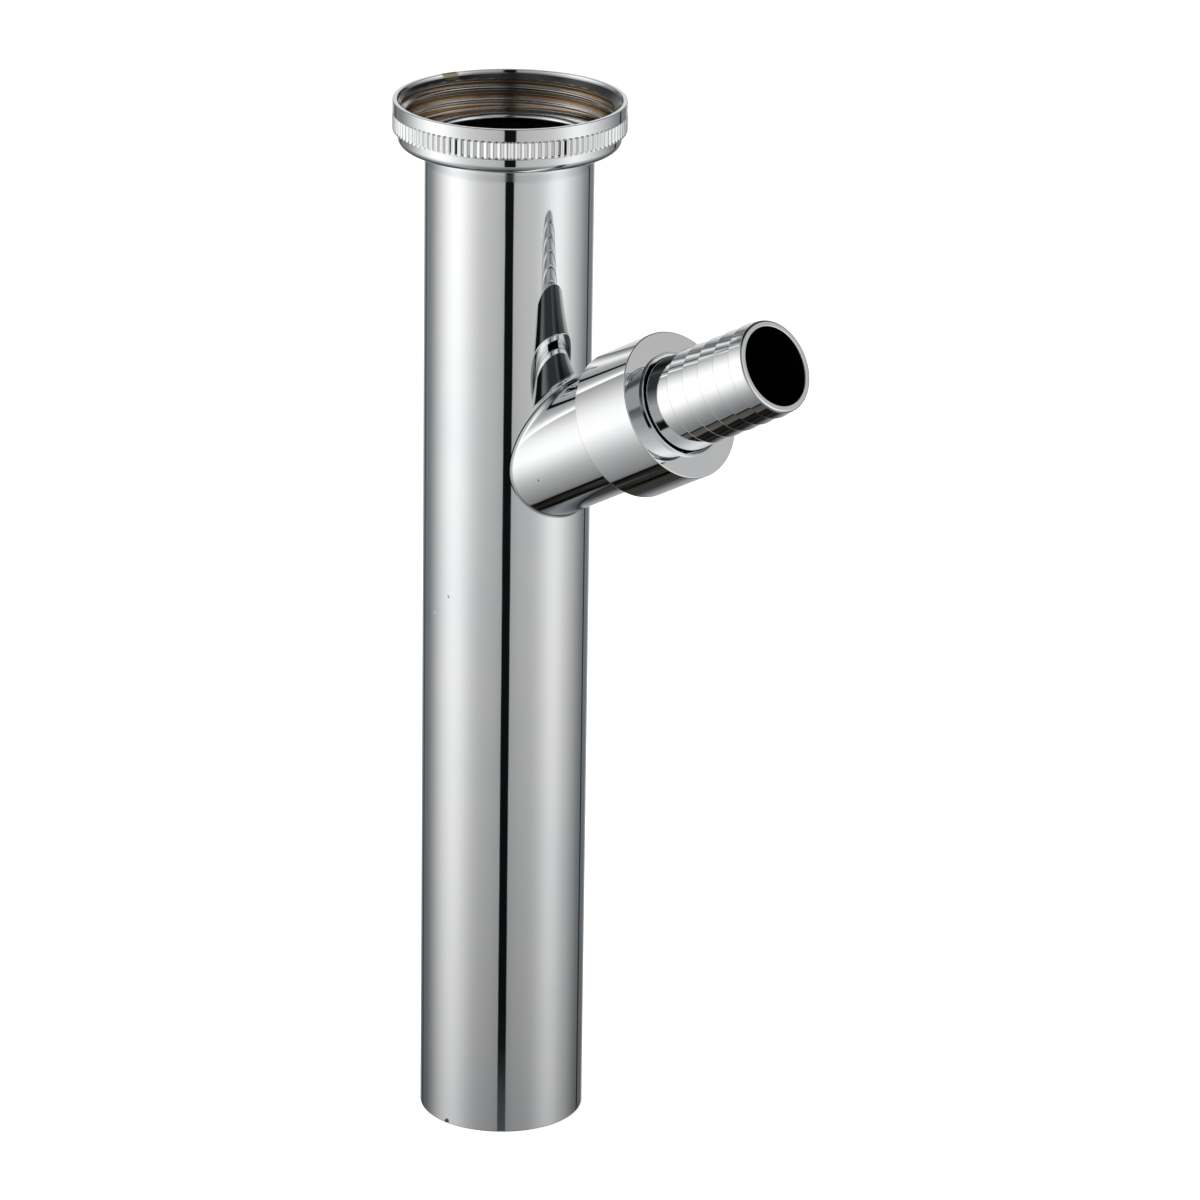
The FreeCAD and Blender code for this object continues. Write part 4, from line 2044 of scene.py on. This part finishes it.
    def lit(self, gaze: Gaze) -> Flow:
        """Light the room and the boxes.

        Args:
            gaze: The direction looked in.

        Returns:
            Their light, with nothing in its way.
        """
        lift = gaze.elevation.rise(*self.LIFT)
        behind = gaze.turned.rise(*self.BEHIND)
        light = (1.0 - behind) * (1.0 - lift * self.LIFTED_FRONT) * self.front + behind * self.rear
        light = light + gaze.turned.rise(*self.BACKDROP) * (self.backdrop - self.rear)
        light = dimmed(light - self.DIP.shine(gaze), gaze, self.ROOM_ZONES)
        for box in self.boxes:
            light = light + box.shine(gaze) * (lift * self.LIFTED_BOXES + 1.0)
        return dimmed(light, gaze, self.BOX_ZONES)

    def shaded(self, gaze: Gaze, light: Flow) -> Flow:
        """Put the slit, the flags and the dim floor behind the object in a light's way.

        Args:
            gaze: The direction looked in.
            light: The light.

        Returns:
            The light that is left.
        """
        spread = gaze.elevation.rise(*self.LIFT) * self.LIFTED_SLIT
        thinned = gaze.elevation.rise(*self.SLIT_TOP) * self.SLIT_THINNED
        slit = self.slit.shade(gaze, spread) * (1.0 - thinned)
        light = light * (1.0 - slit * gaze.elevation.rise(*self.SLIT_FOOT))
        below = gaze.elevation.rise(*self.FLAG_TOP)
        for flag in self.flags:
            light = light * (1.0 - flag.shade(gaze) * below)
        return dimmed(light, gaze, self.FAR_ZONES)

    def lay_sheet(self, name: str, height: float, material: bpy.types.Material) -> bpy.types.Object:
        """Lay a level square sheet that isn't part of the object.

        Args:
            name: Its name.
            height: Its height.
            material: Its material.

        Returns:
            The sheet.
        """
        mesh = bpy.data.meshes.new(name)
        half = self.SHEET_HALF
        square = ((-half, -half), (half, -half), (half, half), (-half, half))
        mesh.from_pydata([(x, y, height) for x, y in square], [], [(0, 1, 2, 3)])
        mesh.materials.append(material)
        sheet = bpy.data.objects.new(name, mesh)
        bpy.context.collection.objects.link(sheet)
        return sheet

    def build_floor(self) -> None:
        """Lay the pale floor, which the chrome doesn't mirror."""
        material, graph, place = new_material("pale_floor")
        graph.end_surface(
            {
                "Base Color": graph.blend(graph.noise(place, self.PAPER_SCALE), *self.PAPER),
                "Roughness": self.PAPER_ROUGHNESS,
                "Specular IOR Level": 0.0,
                "Emission Color": grey(1.0),
                "Emission Strength": self.PAPER_GLOW,
            }
        )
        self.lay_sheet("floor", 0.0, material).visible_glossy = False

    def build_shade(self) -> None:
        """Lay a sheet that only mirrored light meets: the floor is dimmer close to the object."""
        material, graph, place = new_material("near_shade")
        near = (graph.from_axis(place) / -self.SHADE_REACH).maths("EXPONENT")
        clear = 1.0 - near * self.SHADE_DEPTH
        values = {"Color": graph.bundle(clear, clear, clear)}
        graph.end(graph.flow("ShaderNodeBsdfTransparent", None, values))
        sheet = self.lay_sheet("floor_shade", self.SHADE_HEIGHT, material)
        sheet.visible_camera = False
        sheet.visible_diffuse = False
        sheet.visible_shadow = False
        sheet.visible_transmission = False

    def build_lamp(self) -> None:
        """Hang a wide soft lamp over the floor."""
        lamp = bpy.data.lights.new("overhead", "AREA")
        lamp.shape = "SQUARE"
        lamp.size = self.LAMP_SIZE
        lamp.energy = self.LAMP_POWER
        hung = bpy.data.objects.new("overhead", lamp)
        hung.location = self.LAMP_PLACE
        hung.visible_glossy = False
        bpy.context.collection.objects.link(hung)


@dataclass(frozen=True)
class PhotoCamera:
    """The camera of the photograph.

    Attributes:
        place: Where it stands.
        yaw: Degrees from +Y towards +X that it looks along.
        pitch: Degrees that it looks down.
        roll: Degrees that it leans.
        lens: Focal length in millimetres.
    """

    place: Vector = Vector((0.7076, -0.8099, 0.4956))
    yaw: float = -40.1737
    pitch: float = 19.9375
    roll: float = 0.8665
    lens: float = 178.08

    SENSOR = 36.0
    CLIP = (0.01, 50.0)

    @property
    def level(self) -> Vector:
        """The level unit vector from the object back to the camera."""
        yaw = math.radians(self.yaw)
        return Vector((-math.sin(yaw), -math.cos(yaw), 0.0))

    def build(self) -> None:
        """Make the scene's camera."""
        yaw, pitch, roll = (math.radians(angle) for angle in (self.yaw, self.pitch, self.roll))
        level = math.cos(pitch)
        ahead = Vector((math.sin(yaw) * level, math.cos(yaw) * level, -math.sin(pitch)))
        right = Vector((math.cos(yaw), -math.sin(yaw), 0.0))
        up = right.cross(ahead)
        leaning = right * math.cos(roll) + up * math.sin(roll)
        upright = up * math.cos(roll) - right * math.sin(roll)
        data = bpy.data.cameras.new("photo_camera")
        data.sensor_width = self.SENSOR
        data.lens = self.lens
        data.clip_start, data.clip_end = self.CLIP
        camera = bpy.data.objects.new("photo_camera", data)
        turn = Matrix((leaning, upright, -ahead)).transposed().to_4x4()
        camera.matrix_world = Matrix.Translation(self.place) @ turn
        bpy.context.collection.objects.link(camera)
        bpy.context.scene.camera = camera


# Whole object


def dress_seal() -> None:
    """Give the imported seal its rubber."""
    seal = frame["nodes"]["tail_washer"]
    rubber = BLACK_RUBBER.build()
    seal.data.materials.clear()
    seal.data.materials.append(rubber)
    log.info("tail_washer keeps its solid and gets %s", rubber.name)


def main() -> None:
    """Build every piece and its surroundings."""
    logging.basicConfig(level=logging.INFO, format="%(name)s: %(message)s")
    camera = PhotoCamera()
    camera.build()
    Studio(camera.level).build()
    branch = Branch.from_record()

    tube = DipTube().build(branch, TUBE_PLATING, BORE_STAIN_AND_PAINTED_SHADE)
    settle(tube, Body.TUBE, ("dip_tube", "branch_stub"))

    nut = SlipNut()
    nut_body = nut.build_shell(NUT_PLATING)
    settle(nut_body, Body.NUT, ("slip_nut",))
    settle(nut.build_knurl(nut_body.data.materials[0]), Body.NUT)
    settle(nut.build_thread(THREAD_STAIN_AND_PAINTED_LIGHT.build()), Body.NUT)

    ring = UnionRing().build(branch, RING_PLATING.on(branch))
    settle(ring, Body.TUBE, ("union_ring",))

    tail = HoseTail()
    core = tail.build_core(branch, TAIL_PLATING.on(branch), BORE_STAIN_AND_PAINTED_SHADE)
    settle(core, Body.TUBE, ("hose_tail",))
    settle(tail.build_barbs(branch, core.data.materials[0]), Body.TUBE)
    dress_seal()

    bpy.context.scene.view_settings.view_transform = "Standard"


if __name__ == "__main__":
    main()
